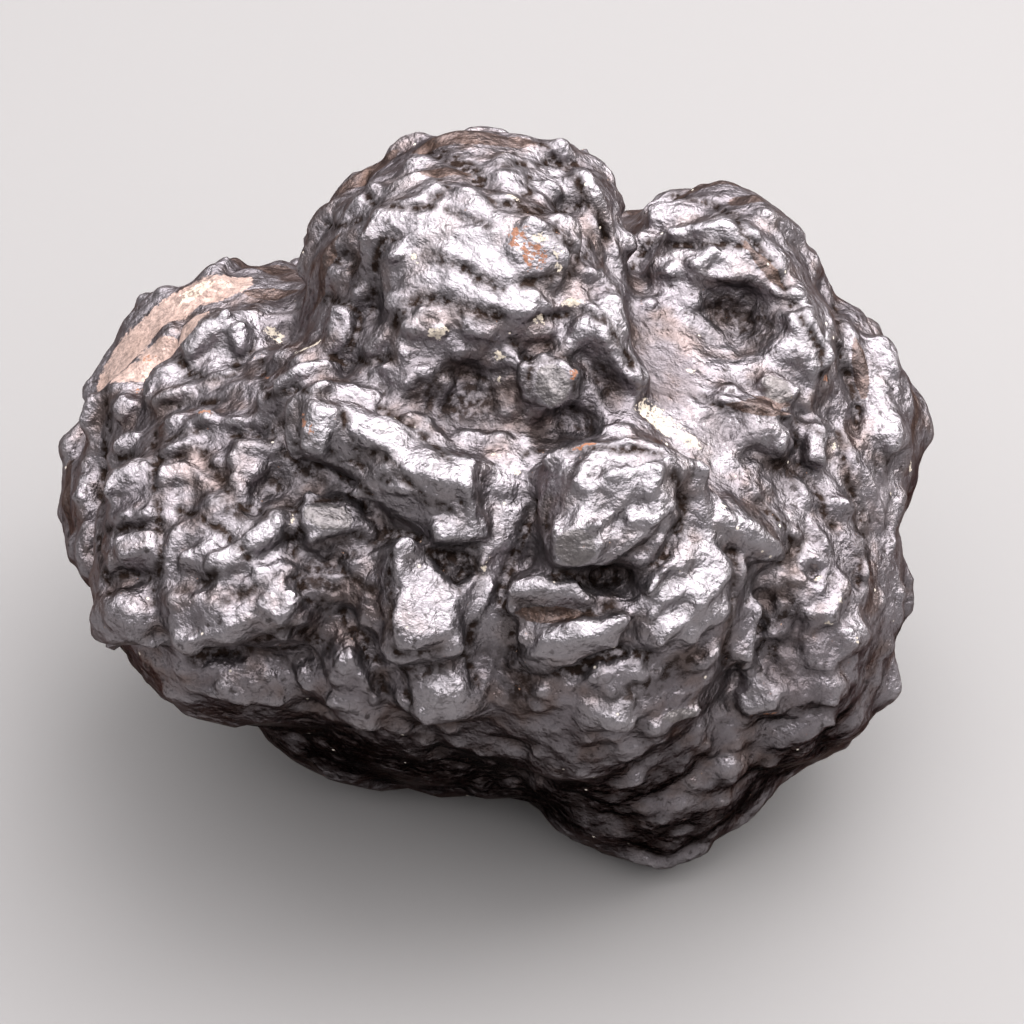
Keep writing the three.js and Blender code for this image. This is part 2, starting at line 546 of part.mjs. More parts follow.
// How far off a set of planes a point lies: ten numbers of a symmetric matrix, then its use
function planeSum(normal, offset, weight) {
  const four = [...normal, offset];
  return four.flatMap((a, i) => four.slice(i).map((b) => a * b * weight));
}
function offPlanes(q, { x, y, z }) {
  return (
    q[0] * x * x + q[4] * y * y + q[7] * z * z + q[9] +
    2 * (q[1] * x * y + q[2] * x * z + q[5] * y * z + q[3] * x + q[6] * y + q[8] * z)
  );
}

// A queue that gives the entry of least cost first
class Queue {
  entries = [];
  add(entry) {
    const list = this.entries;
    let at = list.push(entry) - 1;
    while (at > 0) {
      const above = (at - 1) >> 1;
      if (list[above].cost <= entry.cost) break;
      list[at] = list[above];
      at = above;
    }
    list[at] = entry;
  }
  take() {
    const list = this.entries;
    const first = list[0];
    const last = list.pop();
    if (!list.length) return first;
    let at = 0;
    for (let below = 1; below < list.length; below = 2 * at + 1) {
      if (below + 1 < list.length && list[below + 1].cost < list[below].cost) below++;
      if (list[below].cost >= last.cost) break;
      list[at] = list[below];
      at = below;
    }
    list[at] = last;
    return first;
  }
}

// Joins neighbouring corners, the least change of shape first, until few enough triangles are left
const leastSolvable = 1e-4; // planes that are nearly one plane meet in no certain point
const lengthCost = 1e-5; // among equal changes the shorter edge goes first
const leastAlike = 0.3; // a triangle's facing before and after, as the cosine between them
function makePlain(points, index, wanted) {
  const triangles = [];
  for (let i = 0; i < index.length; i += 3) triangles.push([...index.slice(i, i + 3)]);
  const around = points.map(() => new Set());
  triangles.forEach((triangle, t) => triangle.forEach((v) => around[v].add(t)));
  const plane = new THREE.Plane();
  const sums = points.map(() => new Array(10).fill(0));
  for (const triangle of triangles) {
    const [a, b, c] = triangle.map((v) => points[v]);
    const area = b.clone().sub(a).cross(c.clone().sub(a)).length() / 2;
    plane.setFromCoplanarPoints(a, b, c);
    const sum = planeSum(plane.normal, plane.constant, area);
    for (const v of triangle) sum.forEach((term, k) => (sums[v][k] += term));
  }
  const stamps = points.map(() => 0);
  const ring = (v) => {
    const others = new Set([...around[v]].flatMap((t) => triangles[t]));
    others.delete(v);
    return others;
  };
  const queue = new Queue();
  const offer = (u, v) => {
    const q = sums[u].map((term, k) => term + sums[v][k]);
    const solve = new THREE.Matrix3().set(q[0], q[1], q[2], q[1], q[4], q[5], q[2], q[5], q[7]);
    const middleOfEdge = points[u].clone().lerp(points[v], 0.5);
    const options = [points[u], points[v], middleOfEdge];
    if (Math.abs(solve.determinant()) > leastSolvable) {
      const best = vector(-q[3], -q[6], -q[8]).applyMatrix3(solve.invert());
      if (best.distanceTo(middleOfEdge) < points[u].distanceTo(points[v])) options.push(best);
    }
    const costs = options.map((option) => offPlanes(q, option));
    const least = Math.min(...costs);
    const to = options[costs.indexOf(least)];
    const cost = least + lengthCost * points[u].distanceTo(points[v]);
    queue.add({ cost, u, v, to, q, stamp: stamps[u] + stamps[v] });
  };
  const offerEdge = (v, other) => offer(Math.min(v, other), Math.max(v, other));
  points.forEach((_, v) => ring(v).forEach((other) => v < other && offer(v, other)));
  const turnsOver = (v, other, to) =>
    [...around[v]].some((t) => {
      if (triangles[t].includes(other)) return false;
      const [a, b, c] = triangles[t].map((corner) => points[corner]);
      const [d, e, f] = triangles[t].map((corner) => (corner === v ? to : points[corner]));
      const before = b.clone().sub(a).cross(c.clone().sub(a)).normalize();
      const after = e.clone().sub(d).cross(f.clone().sub(d)).normalize();
      return before.dot(after) < leastAlike;
    });
  let left = triangles.length;
  while (left > wanted && queue.entries.length) {
    const { u, v, to, q, stamp } = queue.take();
    if (!around[u] || !around[v] || stamps[u] + stamps[v] !== stamp) continue;
    const shared = [...ring(u)].filter((other) => ring(v).has(other));
    if (shared.length !== 2 || turnsOver(u, v, to) || turnsOver(v, u, to)) continue;
    for (const t of around[v]) {
      if (triangles[t].includes(u)) {
        triangles[t].forEach((corner) => corner !== v && around[corner].delete(t));
        triangles[t] = null;
        left--;
      } else {
        triangles[t] = triangles[t].map((corner) => (corner === v ? u : corner));
        around[u].add(t);
      }
    }
    around[v] = null;
    points[u] = to.clone();
    sums[u] = q;
    stamps[u] += 1 + stamps[v];
    for (const other of ring(u)) {
      stamps[other]++;
      offerEdge(u, other);
    }
    for (const other of ring(u)) {
      for (const next of ring(other)) if (next !== u) offerEdge(other, next);
    }
  }
  const kept = points.map((_, v) => v).filter((v) => around[v]);
  const numbers = new Map(kept.map((v, n) => [v, n]));
  return {
    corners: kept.map((v) => points[v]),
    index: triangles.filter(Boolean).flatMap((triangle) => triangle.map((v) => numbers.get(v))),
  };
}

// The same shape with one vertex at each corner
function shareCorners(geometry) {
  geometry.deleteAttribute("normal");
  geometry.deleteAttribute("uv");
  return mergeVertices(geometry, 1e-4);
}

// A solid from corners and triangles
function solidOf(corners, triangles) {
  const vertProperties = new Float32Array(corners.flatMap((corner) => corner.toArray()));
  return new wasm.Manifold(
    new wasm.Mesh({ numProp: 3, vertProperties, triVerts: new Uint32Array(triangles) }),
  );
}

const plain = makePlain(raised, index, skinTriangles);
const groundSize = 80;
const groundBox = new THREE.BoxGeometry(groundSize, groundSize, groundSize);
const ground = shareCorners(groundBox.translate(0, 0, -groundSize / 2));
const groundCorners = [];
for (let i = 0; i < ground.getAttribute("position").count; i++) {
  groundCorners.push(vector(0, 0, 0).fromBufferAttribute(ground.getAttribute("position"), i));
}
const stone = solidOf(plain.corners, plain.index).subtract(
  solidOf(groundCorners, ground.getIndex().array),
);

const mesh = stone.getMesh();
const geometry = new THREE.BufferGeometry()
  .setAttribute("position", new THREE.BufferAttribute(mesh.vertProperties, 3))
  .setIndex(new THREE.BufferAttribute(mesh.triVerts, 1));
geometry.computeBoundingBox();
const boxCentre = geometry.boundingBox.getCenter(vector(0, 0, 0));
geometry.translate(-boxCentre.x, -boxCentre.y, 0);

const nodule = new THREE.Mesh(
  geometry,
  new THREE.MeshStandardMaterial({ color: 0x2b2426, roughness: 0.35, metalness: 0.4 }),
);
nodule.name = "stone";
const group = new THREE.Group();
group.add(nodule);

export default group;
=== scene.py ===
# Prophecy stone: a nodule of dark iron oxide, its worn crystals modelled over the CAD solid
import itertools
import math
import bmesh
import bpy
import numpy as np
from mathutils import Matrix, Quaternion, Vector, kdtree, noise
from mathutils.bvhtree import BVHTree


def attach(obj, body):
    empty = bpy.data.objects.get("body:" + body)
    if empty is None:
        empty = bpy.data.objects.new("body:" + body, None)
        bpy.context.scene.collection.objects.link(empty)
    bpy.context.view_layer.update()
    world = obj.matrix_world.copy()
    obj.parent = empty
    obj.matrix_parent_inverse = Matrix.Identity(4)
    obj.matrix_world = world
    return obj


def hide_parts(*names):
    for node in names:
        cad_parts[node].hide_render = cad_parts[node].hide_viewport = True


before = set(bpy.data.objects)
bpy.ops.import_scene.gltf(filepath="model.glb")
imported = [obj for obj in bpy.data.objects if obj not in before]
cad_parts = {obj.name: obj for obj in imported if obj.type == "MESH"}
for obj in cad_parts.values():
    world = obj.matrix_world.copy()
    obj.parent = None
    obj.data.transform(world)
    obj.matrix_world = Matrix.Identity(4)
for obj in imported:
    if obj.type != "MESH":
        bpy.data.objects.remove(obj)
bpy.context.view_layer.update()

mm = 0.001

# The photographed side. Places on it are millimetres across and up from the stone's middle, as the eye
# sees them
eyeView = {
    "middle": (-0.1, -2.18, 17.5),  # mm in the frame
    "elevation": 42,  # degrees
    "distance": 165,  # mm
    "lens": 110.2,
    "shift": (0.0195, -0.0205),
}
middle = Vector(eyeView["middle"]) * mm
rise = math.radians(eyeView["elevation"])
viewRight = Vector((1, 0, 0))
viewUp = Vector((0, math.sin(rise), math.cos(rise)))
towardsEye = viewRight.cross(viewUp)
eye = middle + towardsEye * eyeView["distance"] * mm


def makeCamera():
    data = bpy.data.cameras.new("camera")
    data.lens = eyeView["lens"]
    data.shift_x, data.shift_y = eyeView["shift"]
    data.clip_start = 10 * mm
    data.clip_end = 5
    camera = bpy.data.objects.new("camera", data)
    camera.location = eye
    camera.rotation_euler = towardsEye.to_track_quat("Z", "Y").to_euler()
    bpy.context.scene.collection.objects.link(camera)
    bpy.context.scene.camera = camera


def seenDirection(turn):
    return viewRight * math.cos(turn) + viewUp * math.sin(turn)


def alongSurface(direction, normal):
    return (direction - normal * direction.dot(normal)).normalized()


def seenAt(surface, across, up):
    aim = middle + (viewRight * across + viewUp * up) * mm
    place, normal, _, _ = surface.ray_cast(eye, (aim - eye).normalized())
    return place, normal


# Mesh values as arrays, in mm
def placesOf(mesh):
    flat = np.empty(len(mesh.vertices) * 3, np.float32)
    mesh.vertices.foreach_get("co", flat)
    return flat.reshape(-1, 3).astype(float) / mm


def normalsOf(mesh):
    flat = np.empty(len(mesh.vertices) * 3, np.float32)
    mesh.vertex_normals.foreach_get("vector", flat)
    return flat.reshape(-1, 3).astype(float)


def edgesOf(mesh):
    flat = np.empty(len(mesh.edges) * 2, np.int32)
    mesh.edges.foreach_get("vertices", flat)
    return flat.reshape(-1, 2)


def setPlaces(mesh, places):
    mesh.vertices.foreach_set("co", (places * mm).astype(np.float32).ravel())
    mesh.update()


# Each vertex takes the average of its neighbours, as often as asked
def averaged(values, edges, rounds=1):
    ends = np.concatenate([edges, edges[:, ::-1]])
    counts = np.bincount(ends[:, 0], minlength=len(values))
    columns = values.reshape(len(values), -1)
    for _ in range(rounds):
        sums = [np.bincount(ends[:, 0], column[ends[:, 1]], len(values)) for column in columns.T]
        columns = np.stack(sums, 1) / counts[:, None]
    return columns.reshape(values.shape)


def smoothStep(values, low, high):
    share = np.clip((values - low) / (high - low), 0, 1)
    return share * share * (3 - 2 * share)


def noiseAt(places, size):
    return np.array([noise.noise(place) for place in map(Vector, places / size)])


def treeOf(places):
    tree = kdtree.KDTree(len(places))
    for i, place in enumerate(places):
        tree.insert(place, i)
    tree.balance()
    return tree


# Directions spread evenly all round
def evenDirections(count):
    for i in range(count):
        level = 1 - 2 * (i + 0.5) / count
        turn = i * math.pi * (3 - math.sqrt(5))
        flat = Vector((math.cos(turn), math.sin(turn), 0)) * math.sqrt(1 - level * level)
        yield flat + Vector((0, 0, level))


# The skin: the CAD facets melted into worn crystals, with lumps and wrinkles on them
skin = {
    "groundVoxel": 0.3,  # mm, the grid that the faces are rubbed flat on
    "outlineBand": (0.15, 0.45),  # how far from edge-on the outline's facets are rubbed, and how much
    "outlineRubbing": 0.7,
    "outlineRounds": 9,
    "voxel": 0.18,  # mm, the grid that the facets are melted on
    "standing": 0.8,  # how far placed crystals stand out
    "outlineStanding": 0.3,  # share of that at the outline
    "crowding": 1.15,  # and how far they run into each other
    "towardsNormal": 0.7,  # how far they turn from the eye to the ground's normal
    "melting": 2,  # rounds of smoothing, more is more worn
    "rubbing": 200,  # rounds of smoothing on rubbed faces
    "softening": 45,  # and in softened hollows
    "lumps": [  # size, height, tilt of each layer of worn crystals, mm
        (2.2, 0.4, 0.3),
        (1, 0.2, 0.25),
    ],
    "lumpLevel": 0.45,  # share of a lump's height that stays sunk
    "seenLumps": 0.55,  # how much of the lumps the seen side keeps, where crystals are placed one by one
    "patchSize": 4.5,  # mm, of livelier and quieter patches
    "quietest": 0.45,
    "calming": 0.75,  # how much calm places lose
    "underCalming": 0.5,  # and the underside
    "lumpStretch": 1.5,  # how much longer the lumps are than wide
    "wrinkleWidth": 0.75,  # mm
    "wrinkleLength": 2.4,
    "wrinkleHeight": 0.12,
    "seamVariation": 0.6,
    "hiddenSeats": 160,  # places of the wrinkles' flow all round
    "restHeights": (0.1, 1.2),  # mm, under these the resting places stay flat
    "swelling": 0.18,  # mm that the surface swells at the end, which closes the creases
    "fineVoxel": 0.18,
    "triangles": 195000,
    "hiddenShare": 0.35,  # how many of them the underside keeps
}


# Worn crystals of the seen side: kind, place across and up, size along and over its turn, rise, turn in
# degrees, and how far its top leans to the sky
crystals = {
    "left rear": [
        ("block", (-19.3, 4.3), (1.7, 1.5), 0.7, 60, -5), ("ridge", (-19.4, 5.6), (2, 0.6), 0.35, -15, 20),
        ("bead", (-17.2, 6.35), (1.5, 0.6), 0.4, 20, 20), ("bead", (-17.3, 7.25), (0.9, 0.8), 0.4, 0, 0),
        ("block", (-15.3, 7.9), (2.5, 1.4), 0.7, 42, 8), ("block", (-13.3, 8.1), (1.9, 1.3), 0.6, -70, 0),
        ("peak", (-14.1, 9.2), (1.4, 1.2), 0.8, 30, 0), ("bead", (-16.6, 5.15), (2.9, 0.8), 0.5, 5, 30),
        ("bead", (-16.6, 3.7), (1.7, 0.9), 0.6, 12, 15), ("bead", (-15, 3.9), (1.2, 1), 0.6, 0, 10),
        ("bead", (-13.6, 3.8), (1, 0.6), 0.4, 0, 20), ("peak", (-10.9, 7), (2.1, 2), 0.8, 20, -8),
        ("bead", (-10.9, 5.6), (1.9, 1.3), 0.8, 40, 20), ("bead", (-9.4, 6.3), (3, 1), 0.9, 33, 30),
        ("block", (-10.9, 9), (1.8, 1.1), 0.6, 15, 10), ("bead", (-12.5, 9.4), (0.7, 0.6), 0.4, 0, 10),
        ("bead", (-12.7, 11.5), (2, 1.2), 0.4, 20, 0), ("block", (-8, 8.6), (2.8, 1.6), 0.25, 82, -10),
        ("block", (-9.2, 3.4), (3.2, 1.7), 0.9, 75, 0), ("block", (-21.2, 4.2), (1.9, 0.9), 0.3, 68, 0),
        ("block", (-21.2, 2), (1.7, 0.8), 0.35, 80, 10), ("block", (-19.2, 2.5), (1.6, 1.2), 0.6, 30, 25),
        ("block", (-12.2, 2.3), (2.7, 1.2), 0.5, -5, 30), ("peak", (-13.5, 1.6), (1.5, 1.1), 0.6, 55, 20),
        ("bead", (-12, 5), (1.1, 0.8), 0.4, 40, 0), ("block", (-14.4, 5.9), (1.9, 1.1), 0.4, 20, -10),
        ("ridge", (-12.6, 6.9), (1.8, 0.6), 0.4, 55, 0), ("block", (-11.2, 3.3), (1.6, 0.9), 0.4, 20, 0),
    ],
    "left front": [
        ("block", (-21.5, 0.2), (1.8, 1), 0.4, 85, 12), ("bead", (-22.2, 2.4), (2.2, 1.4), 0.5, 80, 0),
        ("bead", (-22.3, -0.4), (2.2, 1.3), 0.5, 85, 0), ("bead", (-22, -3), (1.8, 1.2), 0.5, 88, 0),
        ("bead", (-21.6, -3), (2.8, 1.2), 0.35, 85, 0), ("bead", (-19, 1), (2.6, 1.8), 0.6, 20, 15),
        ("ridge", (-20.1, 0.5), (1.5, 0.6), 0.6, 75, 15),
        ("ridge", (-18.8, -1.3), (2.7, 0.8), 0.5, -12, 25),
        ("block", (-18.7, -2.9), (2.1, 1.6), 0.8, 12, 18), ("ridge", (-17, -3.2), (2.1, 0.6), 0.6, 82, 10),
        ("block", (-16.4, -2.4), (1.5, 1.1), 0.4, 60, 20), ("bead", (-19.2, -6.4), (3, 2.3), 0.9, -10, 5),
        ("bead", (-20.5, -5.8), (0.8, 1.2), 0.4, 0, 10), ("bead", (-16.7, -5.7), (1.2, 1), 0.5, 60, 15),
        ("block", (-12.7, -2.9), (4.6, 1.3), 0.8, 38, 22),
        ("block", (-14.8, -2.9), (1.6, 0.8), 0.5, 65, 20),
        ("ridge", (-15.5, -3.9), (1.9, 0.7), 0.4, -20, 20),
        ("ridge", (-15.3, -5.5), (2.1, 0.7), 0.4, 8, 20), ("block", (-16.9, 0.9), (1.6, 1.3), 0.5, 20, 18),
        ("ridge", (-15.6, 0.9), (2.1, 0.8), 0.5, -50, 15), ("block", (-16.5, 2.2), (1.7, 0.9), 0.4, 15, -8),
        ("bead", (-14.6, 1.5), (1.2, 0.8), 0.5, 80, 0), ("block", (-17, -0.5), (2.4, 0.8), 0.35, 0, -12),
        ("ridge", (-13.4, 1), (1.5, 0.5), 0.5, 62, 20), ("bead", (-13.3, 0.1), (1.2, 1.1), 0.5, 0, -15),
        ("block", (-11.1, -1.3), (1.7, 0.8), 0.5, 12, 28), ("wedge", (-8.3, -1.5), (3.6, 2.9), 0.8, -8, 26),
        ("ridge", (-8.2, -2.3), (3, 0.6), 0.5, 17, 35), ("ridge", (-8.3, -3.1), (1.3, 0.4), 0.4, 40, 20),
        ("bead", (-16.2, -8), (1.6, 1.1), 0.7, -40, 20), ("ridge", (-15, -7.6), (2, 0.7), 0.5, 12, 30),
        ("bead", (-14.1, -7.2), (1.3, 0.9), 0.6, 85, 15), ("block", (-13, -6.5), (2, 1.5), 0.7, 20, 22),
        ("block", (-11.2, -6), (2.1, 1.9), 0.8, 50, 18), ("ridge", (-11.4, -6.3), (2.1, 0.5), 0.6, 56, 10),
        ("bead", (-10.7, -7.1), (2.2, 0.7), 0.5, 18, 30), ("block", (-11.5, -4.3), (2.1, 1.4), 0.5, 35, 15),
        ("peak", (-7.8, -9), (2.8, 2.6), 0.8, 50, 5), ("bead", (-7.2, -11.8), (2.8, 1.6), 0.5, -35, 10),
        ("bead", (-5.2, -12.3), (2.4, 1.5), 0.4, -50, 10), ("bead", (-2, -11.7), (1.6, 0.8), 0.6, 10, 20),
        ("ridge", (-6.8, -9.7), (3.4, 0.9), 0.5, -64, 0), ("block", (-9.3, -9.6), (2.2, 1.5), 0.5, 20, -5),
        ("ridge", (-14.6, -10.8), (3, 0.7), 0.3, -8, 10), ("ridge", (-10.6, -11.4), (3, 0.6), 0.3, -15, 5),
        ("ridge", (-13.5, -9.2), (3.6, 0.7), 0.3, 5, 5), ("bead", (-7, -11.4), (2, 0.9), 0.4, -30, 10),
    ],
    "crown": [
        ("block", (2.3, 17.8), (1.5, 0.9), 0.5, 15, 20), ("block", (3.6, 18), (1.2, 0.9), 0.5, 70, 0),
        ("ridge", (2.2, 17.2), (3.4, 0.5), 0.4, 0, 10), ("bead", (-4.3, 16.4), (2.5, 1), 0.6, 18, 15),
        ("bead", (-6.3, 16), (1.1, 0.9), 0.4, 30, 0), ("bead", (-7.1, 15.2), (1, 0.8), 0.4, 40, 0),
        ("bead", (-8.2, 14.7), (0.6, 0.5), 0.3, 0, 0), ("ridge", (-7.7, 14), (1.7, 0.5), 0.4, 5, 15),
        ("bead", (-7.9, 13.1), (1.6, 0.7), 0.5, 20, 15), ("ridge", (-6.5, 13.8), (1.5, 0.5), 0.5, 55, 10),
        ("peak", (-4.9, 12.3), (1.9, 1.4), 0.8, 10, 5), ("ridge", (-2.2, 15.9), (3, 0.6), 0.35, -18, 15),
        ("ridge", (1.5, 15.9), (3, 0.6), 0.4, -22, 20), ("peak", (3, 15.9), (2.2, 1.9), 0.8, -15, 5),
        ("block", (4.9, 16), (2, 1.7), 0.5, -55, 0), ("ridge", (5.3, 14.8), (4.6, 0.6), 0.5, -82, 0),
        ("ridge", (6.1, 14.4), (4.4, 0.6), 0.5, -76, 5), ("bead", (6.5, 15.7), (0.9, 0.5), 0.5, -70, 10),
        ("plate", (2.6, 12.5), (3.6, 2.9), 0.35, -50, -6), ("block", (5.2, 11.4), (1.7, 0.9), 0.5, 15, 15),
        ("block", (4.1, 10), (1.9, 0.9), 0.5, 18, 15), ("bead", (7.2, 10.9), (1.3, 0.8), 0.5, -18, 15),
        ("ridge", (-2.6, 9.6), (3.4, 0.6), 0.4, 3, 20), ("bead", (-4.3, 8.6), (1.2, 1), 0.6, 0, 10),
        ("bead", (-2.9, 8.5), (1.2, 1), 0.6, 0, 10), ("block", (-0.7, 8.6), (2.2, 1.3), 0.45, -12, 10),
        ("block", (2.6, 8.4), (1.4, 0.9), 0.5, 10, 20), ("ridge", (6.2, 8.7), (3, 0.5), 0.4, -54, 10),
        ("bead", (5, 8.6), (2.2, 1.2), 0.5, 35, 20), ("bead", (4.2, 7.7), (1.7, 0.8), 0.5, 28, 20),
        ("bead", (-7, 10.4), (1, 0.8), 0.5, 0, 0), ("bead", (-7.8, 11.3), (1, 0.8), 0.5, 30, 0),
        ("bead", (-6.8, 11.7), (0.9, 0.7), 0.4, 60, 0), ("block", (-5.9, 7.8), (1.9, 1.4), 0.6, 35, 15),
        ("ridge", (-6.4, 9.3), (1.6, 0.6), 0.4, 70, 0), ("block", (-5, 9.9), (1.5, 1.2), 0.4, -20, 0),
        ("bead", (1, 9.5), (1.6, 0.7), 0.4, -10, 10),
    ],
    "centre": [
        ("block", (-6.4, 3.3), (4.2, 2.3), 0.55, -30, 26), ("block", (-3.4, 1.3), (5.6, 2.7), 0.5, -27, 26),
        ("bead", (-7.5, 3.2), (1.1, 0.4), 0.4, -72, 15), ("block", (-7, 5), (2.1, 1), 0.5, -14, 22),
        ("bead", (-5, 4.7), (1.6, 1.1), 0.6, 50, 10), ("bead", (-3.5, 6.3), (1.5, 1), 0.6, 0, 18),
        ("bead", (-3.5, 5.3), (1, 0.8), 0.4, 0, 0), ("bead", (-4.7, 7.3), (1.1, 1), 0.5, 30, 10),
        ("bead", (-5.8, 6.5), (1, 0.8), 0.4, 0, 10), ("bead", (-2.7, 2.9), (0.6, 1.1), 0.4, 0, 5),
        ("bead", (-0.8, 4.3), (0.9, 0.8), 0.4, 0, 0), ("bead", (-0.4, 6.6), (1.6, 0.6), 0.4, 5, 15),
        ("bead", (0.2, 5.7), (1.4, 0.6), 0.4, 10, 15), ("bead", (1.7, 4.7), (1.3, 1.2), 0.6, 60, 10),
        ("plate", (3.1, 5.7), (3.4, 2.8), 0.7, -62, -2), ("ridge", (2.9, 5.6), (1.9, 0.4), 0.95, -58, 0),
        ("ridge", (5.2, 5.4), (3.2, 0.6), 0.5, -62, 15), ("ridge", (5, 2.4), (4, 0.7), 0.5, 4, 30),
        ("block", (6.6, 3.2), (2, 1.5), 0.5, 20, 28), ("block", (0.8, -1.9), (2.6, 1.5), 0.4, 80, 0),
        ("bead", (0.3, 0.6), (3, 1.7), 0.5, -15, 25), ("block", (-1.6, -2), (3.1, 1.4), 0.8, 8, 26),
        ("ridge", (-0.9, -4.4), (3.6, 0.7), 0.5, 55, 0), ("block", (-1.3, -7.3), (2.6, 1.5), 0.4, 68, 0),
        ("ridge", (-6.8, -1), (2.3, 0.6), 0.5, -45, 12), ("bead", (-5, -0.5), (1.7, 0.8), 0.4, -15, 10),
        ("bead", (-4.2, -1.3), (1.5, 0.6), 0.4, 8, 15), ("ridge", (-6.4, 0.3), (4.6, 0.5), 0.5, -32, 12),
        ("ridge", (-5.6, 1.1), (4.4, 0.5), 0.5, -32, 15), ("ridge", (-7.6, 1.4), (4.4, 0.5), 0.5, -32, 12),
        ("ridge", (-6.8, -3.7), (3.2, 0.7), 0.5, 28, 0), ("block", (-3.3, -5.4), (5, 3.4), 0.14, 82, 10),
        ("ridge", (-5, -5.2), (4.4, 0.5), 0.9, 89, 0), ("block", (-6.3, -5.8), (2.7, 1.2), 0.5, 80, 10),
        ("bead", (-6.5, -5.6), (1.6, 0.6), 0.6, 78, 20), ("bead", (-3.7, -8), (2.8, 0.7), 0.8, 22, 30),
        ("bead", (-2.4, -10.4), (3, 2.6), 0.8, 20, 5), ("ridge", (-0.2, -9.4), (2.5, 0.6), 0.5, 80, 0),
        ("ridge", (-1.3, -8.9), (2, 0.6), 0.4, 72, 0), ("ridge", (1.8, -2.6), (4, 0.6), 0.4, 68, 0),
        ("ridge", (-0.5, -6), (2.6, 0.6), 0.4, 62, 0),
    ],
    "knob": [
        ("bead", (7.6, 0.35), (2.4, 0.7), 0.6, 27, 20), ("bead", (8.6, -1.2), (2, 0.6), 0.6, 25, 15),
        ("bead", (7.2, -2.8), (3.2, 0.7), 0.7, 33, 15), ("bead", (8.8, -0.2), (1.4, 0.5), 0.5, 30, 10),
        ("bead", (6.1, -2.1), (1.7, 1.3), 0.6, 70, 10), ("bead", (4.9, 0.2), (1.1, 0.6), 0.5, 20, 15),
        ("bead", (5.4, 1.2), (1.5, 0.5), 0.4, 40, 15), ("bead", (5.8, -0.7), (1.4, 0.6), 0.5, 28, 15),
        ("bead", (4.9, -1.2), (1.2, 0.6), 0.5, 10, 15), ("bead", (6.3, 0.3), (1.1, 0.5), 0.5, 40, 15),
        ("bead", (7.1, 1.5), (1.8, 0.5), 0.4, 15, 20), ("bead", (7.3, -1.2), (1.1, 0.7), 0.5, -20, 10),
        ("plate", (4.4, -3), (2.4, 2.2), 0.7, 62, -3), ("ridge", (3.4, -2.9), (2.4, 0.5), 0.6, 85, 0),
        ("bead", (8.3, -4), (1.4, 0.6), 0.6, -35, 20), ("block", (3, -5.2), (4, 1.3), 0.9, -4, 30),
        ("bead", (4.7, -7.6), (3.6, 1.3), 0.9, 10, 25), ("bead", (4.4, -7.1), (1.9, 0.5), 0.8, 30, 10),
        ("block", (2.2, -7.7), (1.7, 0.8), 0.4, -5, 5), ("ridge", (3, -8.7), (2.2, 0.6), 0.5, -5, 25),
        ("bead", (1.2, -9.1), (0.9, 0.8), 0.6, 50, 15), ("bead", (1, -6.2), (0.8, 0.7), 0.5, 0, 15),
        ("bead", (7.4, -6.2), (2, 0.7), 0.5, -15, 20), ("bead", (7.3, -9), (1.8, 0.9), 0.4, 10, 10),
        ("block", (9.9, -11.8), (2.6, 0.8), 0.4, 0, 10), ("bead", (6.3, -11.9), (2.2, 1.2), 0.8, -20, 25),
        ("bead", (2.7, -10.5), (1.2, 0.9), 0.7, 0, 20), ("bead", (5.6, -9.8), (1.3, 0.8), 0.7, 10, 25),
        ("bead", (7.7, -9.7), (1.2, 0.7), 0.6, 20, 25), ("block", (14, -10.9), (2.1, 1.7), 0.7, 10, 20),
        ("bead", (11, -13.4), (1.4, 1), 0.6, 0, 20), ("bead", (8.8, -13), (1.2, 0.9), 0.5, 20, 15),
        ("bead", (9.8, -16.6), (1.8, 1), 0.4, 10, 10), ("bead", (9.4, -6.8), (1.6, 0.6), 0.5, -42, 10),
        ("bead", (10.3, -7.6), (1.4, 0.6), 0.5, -38, 10), ("block", (9.3, -5.5), (1.5, 0.9), 0.4, 20, 15),
        ("block", (11.2, -4.9), (2.6, 1.8), 0.4, 48, 12), ("bead", (8.6, -7.5), (1.5, 0.5), 0.4, -25, 10),
        ("bead", (10.6, -6.3), (1.3, 0.6), 0.4, 50, 10), ("block", (9.6, -3.8), (1.8, 1), 0.4, -20, 15),
        ("bead", (11.5, -8.8), (1.7, 0.5), 0.5, 60, 10), ("bead", (7.1, -13.6), (2, 0.9), 0.3, 10, 5),
        ("bead", (12.4, -14.7), (1.5, 0.9), 0.5, 10, 20),
    ],
    "right rear": [
        ("block", (9.6, 14.6), (2.8, 1.8), 0.5, 10, 10), ("bead", (13.4, 14.8), (1.6, 0.6), 0.4, 0, 25),
        ("bead", (14.5, 14.6), (1.1, 0.6), 0.4, -50, 5), ("block", (11, 13.6), (3.8, 1), 0.7, 5, 20),
        ("bead", (12.6, 13.7), (1, 0.8), 0.6, 0, 15), ("bead", (7.9, 13.3), (1.2, 1), 0.6, 0, 10),
        ("block", (13.5, 13.5), (1.1, 0.9), 0.4, 0, 10), ("bead", (15, 13.5), (1, 0.6), 0.4, -30, 15),
        ("ridge", (13.9, 12.4), (3, 0.5), 0.5, -48, 0), ("ridge", (15.2, 10.6), (1.7, 0.5), 0.5, -62, 0),
        ("block", (16.6, 11.7), (2, 1.6), 0.6, 55, 12), ("bead", (15.1, 11.7), (1.1, 0.9), 0.4, 60, 5),
        ("bead", (16, 10.4), (1.1, 0.8), 0.5, 0, 10), ("block", (16.2, 8.9), (1.6, 1.2), 0.7, 25, 10),
        ("block", (16.9, 7.3), (2.8, 2.3), 0.5, -55, 10), ("ridge", (17.7, 10.1), (2, 0.5), 0.4, -80, 0),
        ("ridge", (18.2, 8.4), (1.7, 0.5), 0.5, -58, 0), ("ridge", (19.4, 6.5), (2.6, 0.6), 0.5, -82, 0),
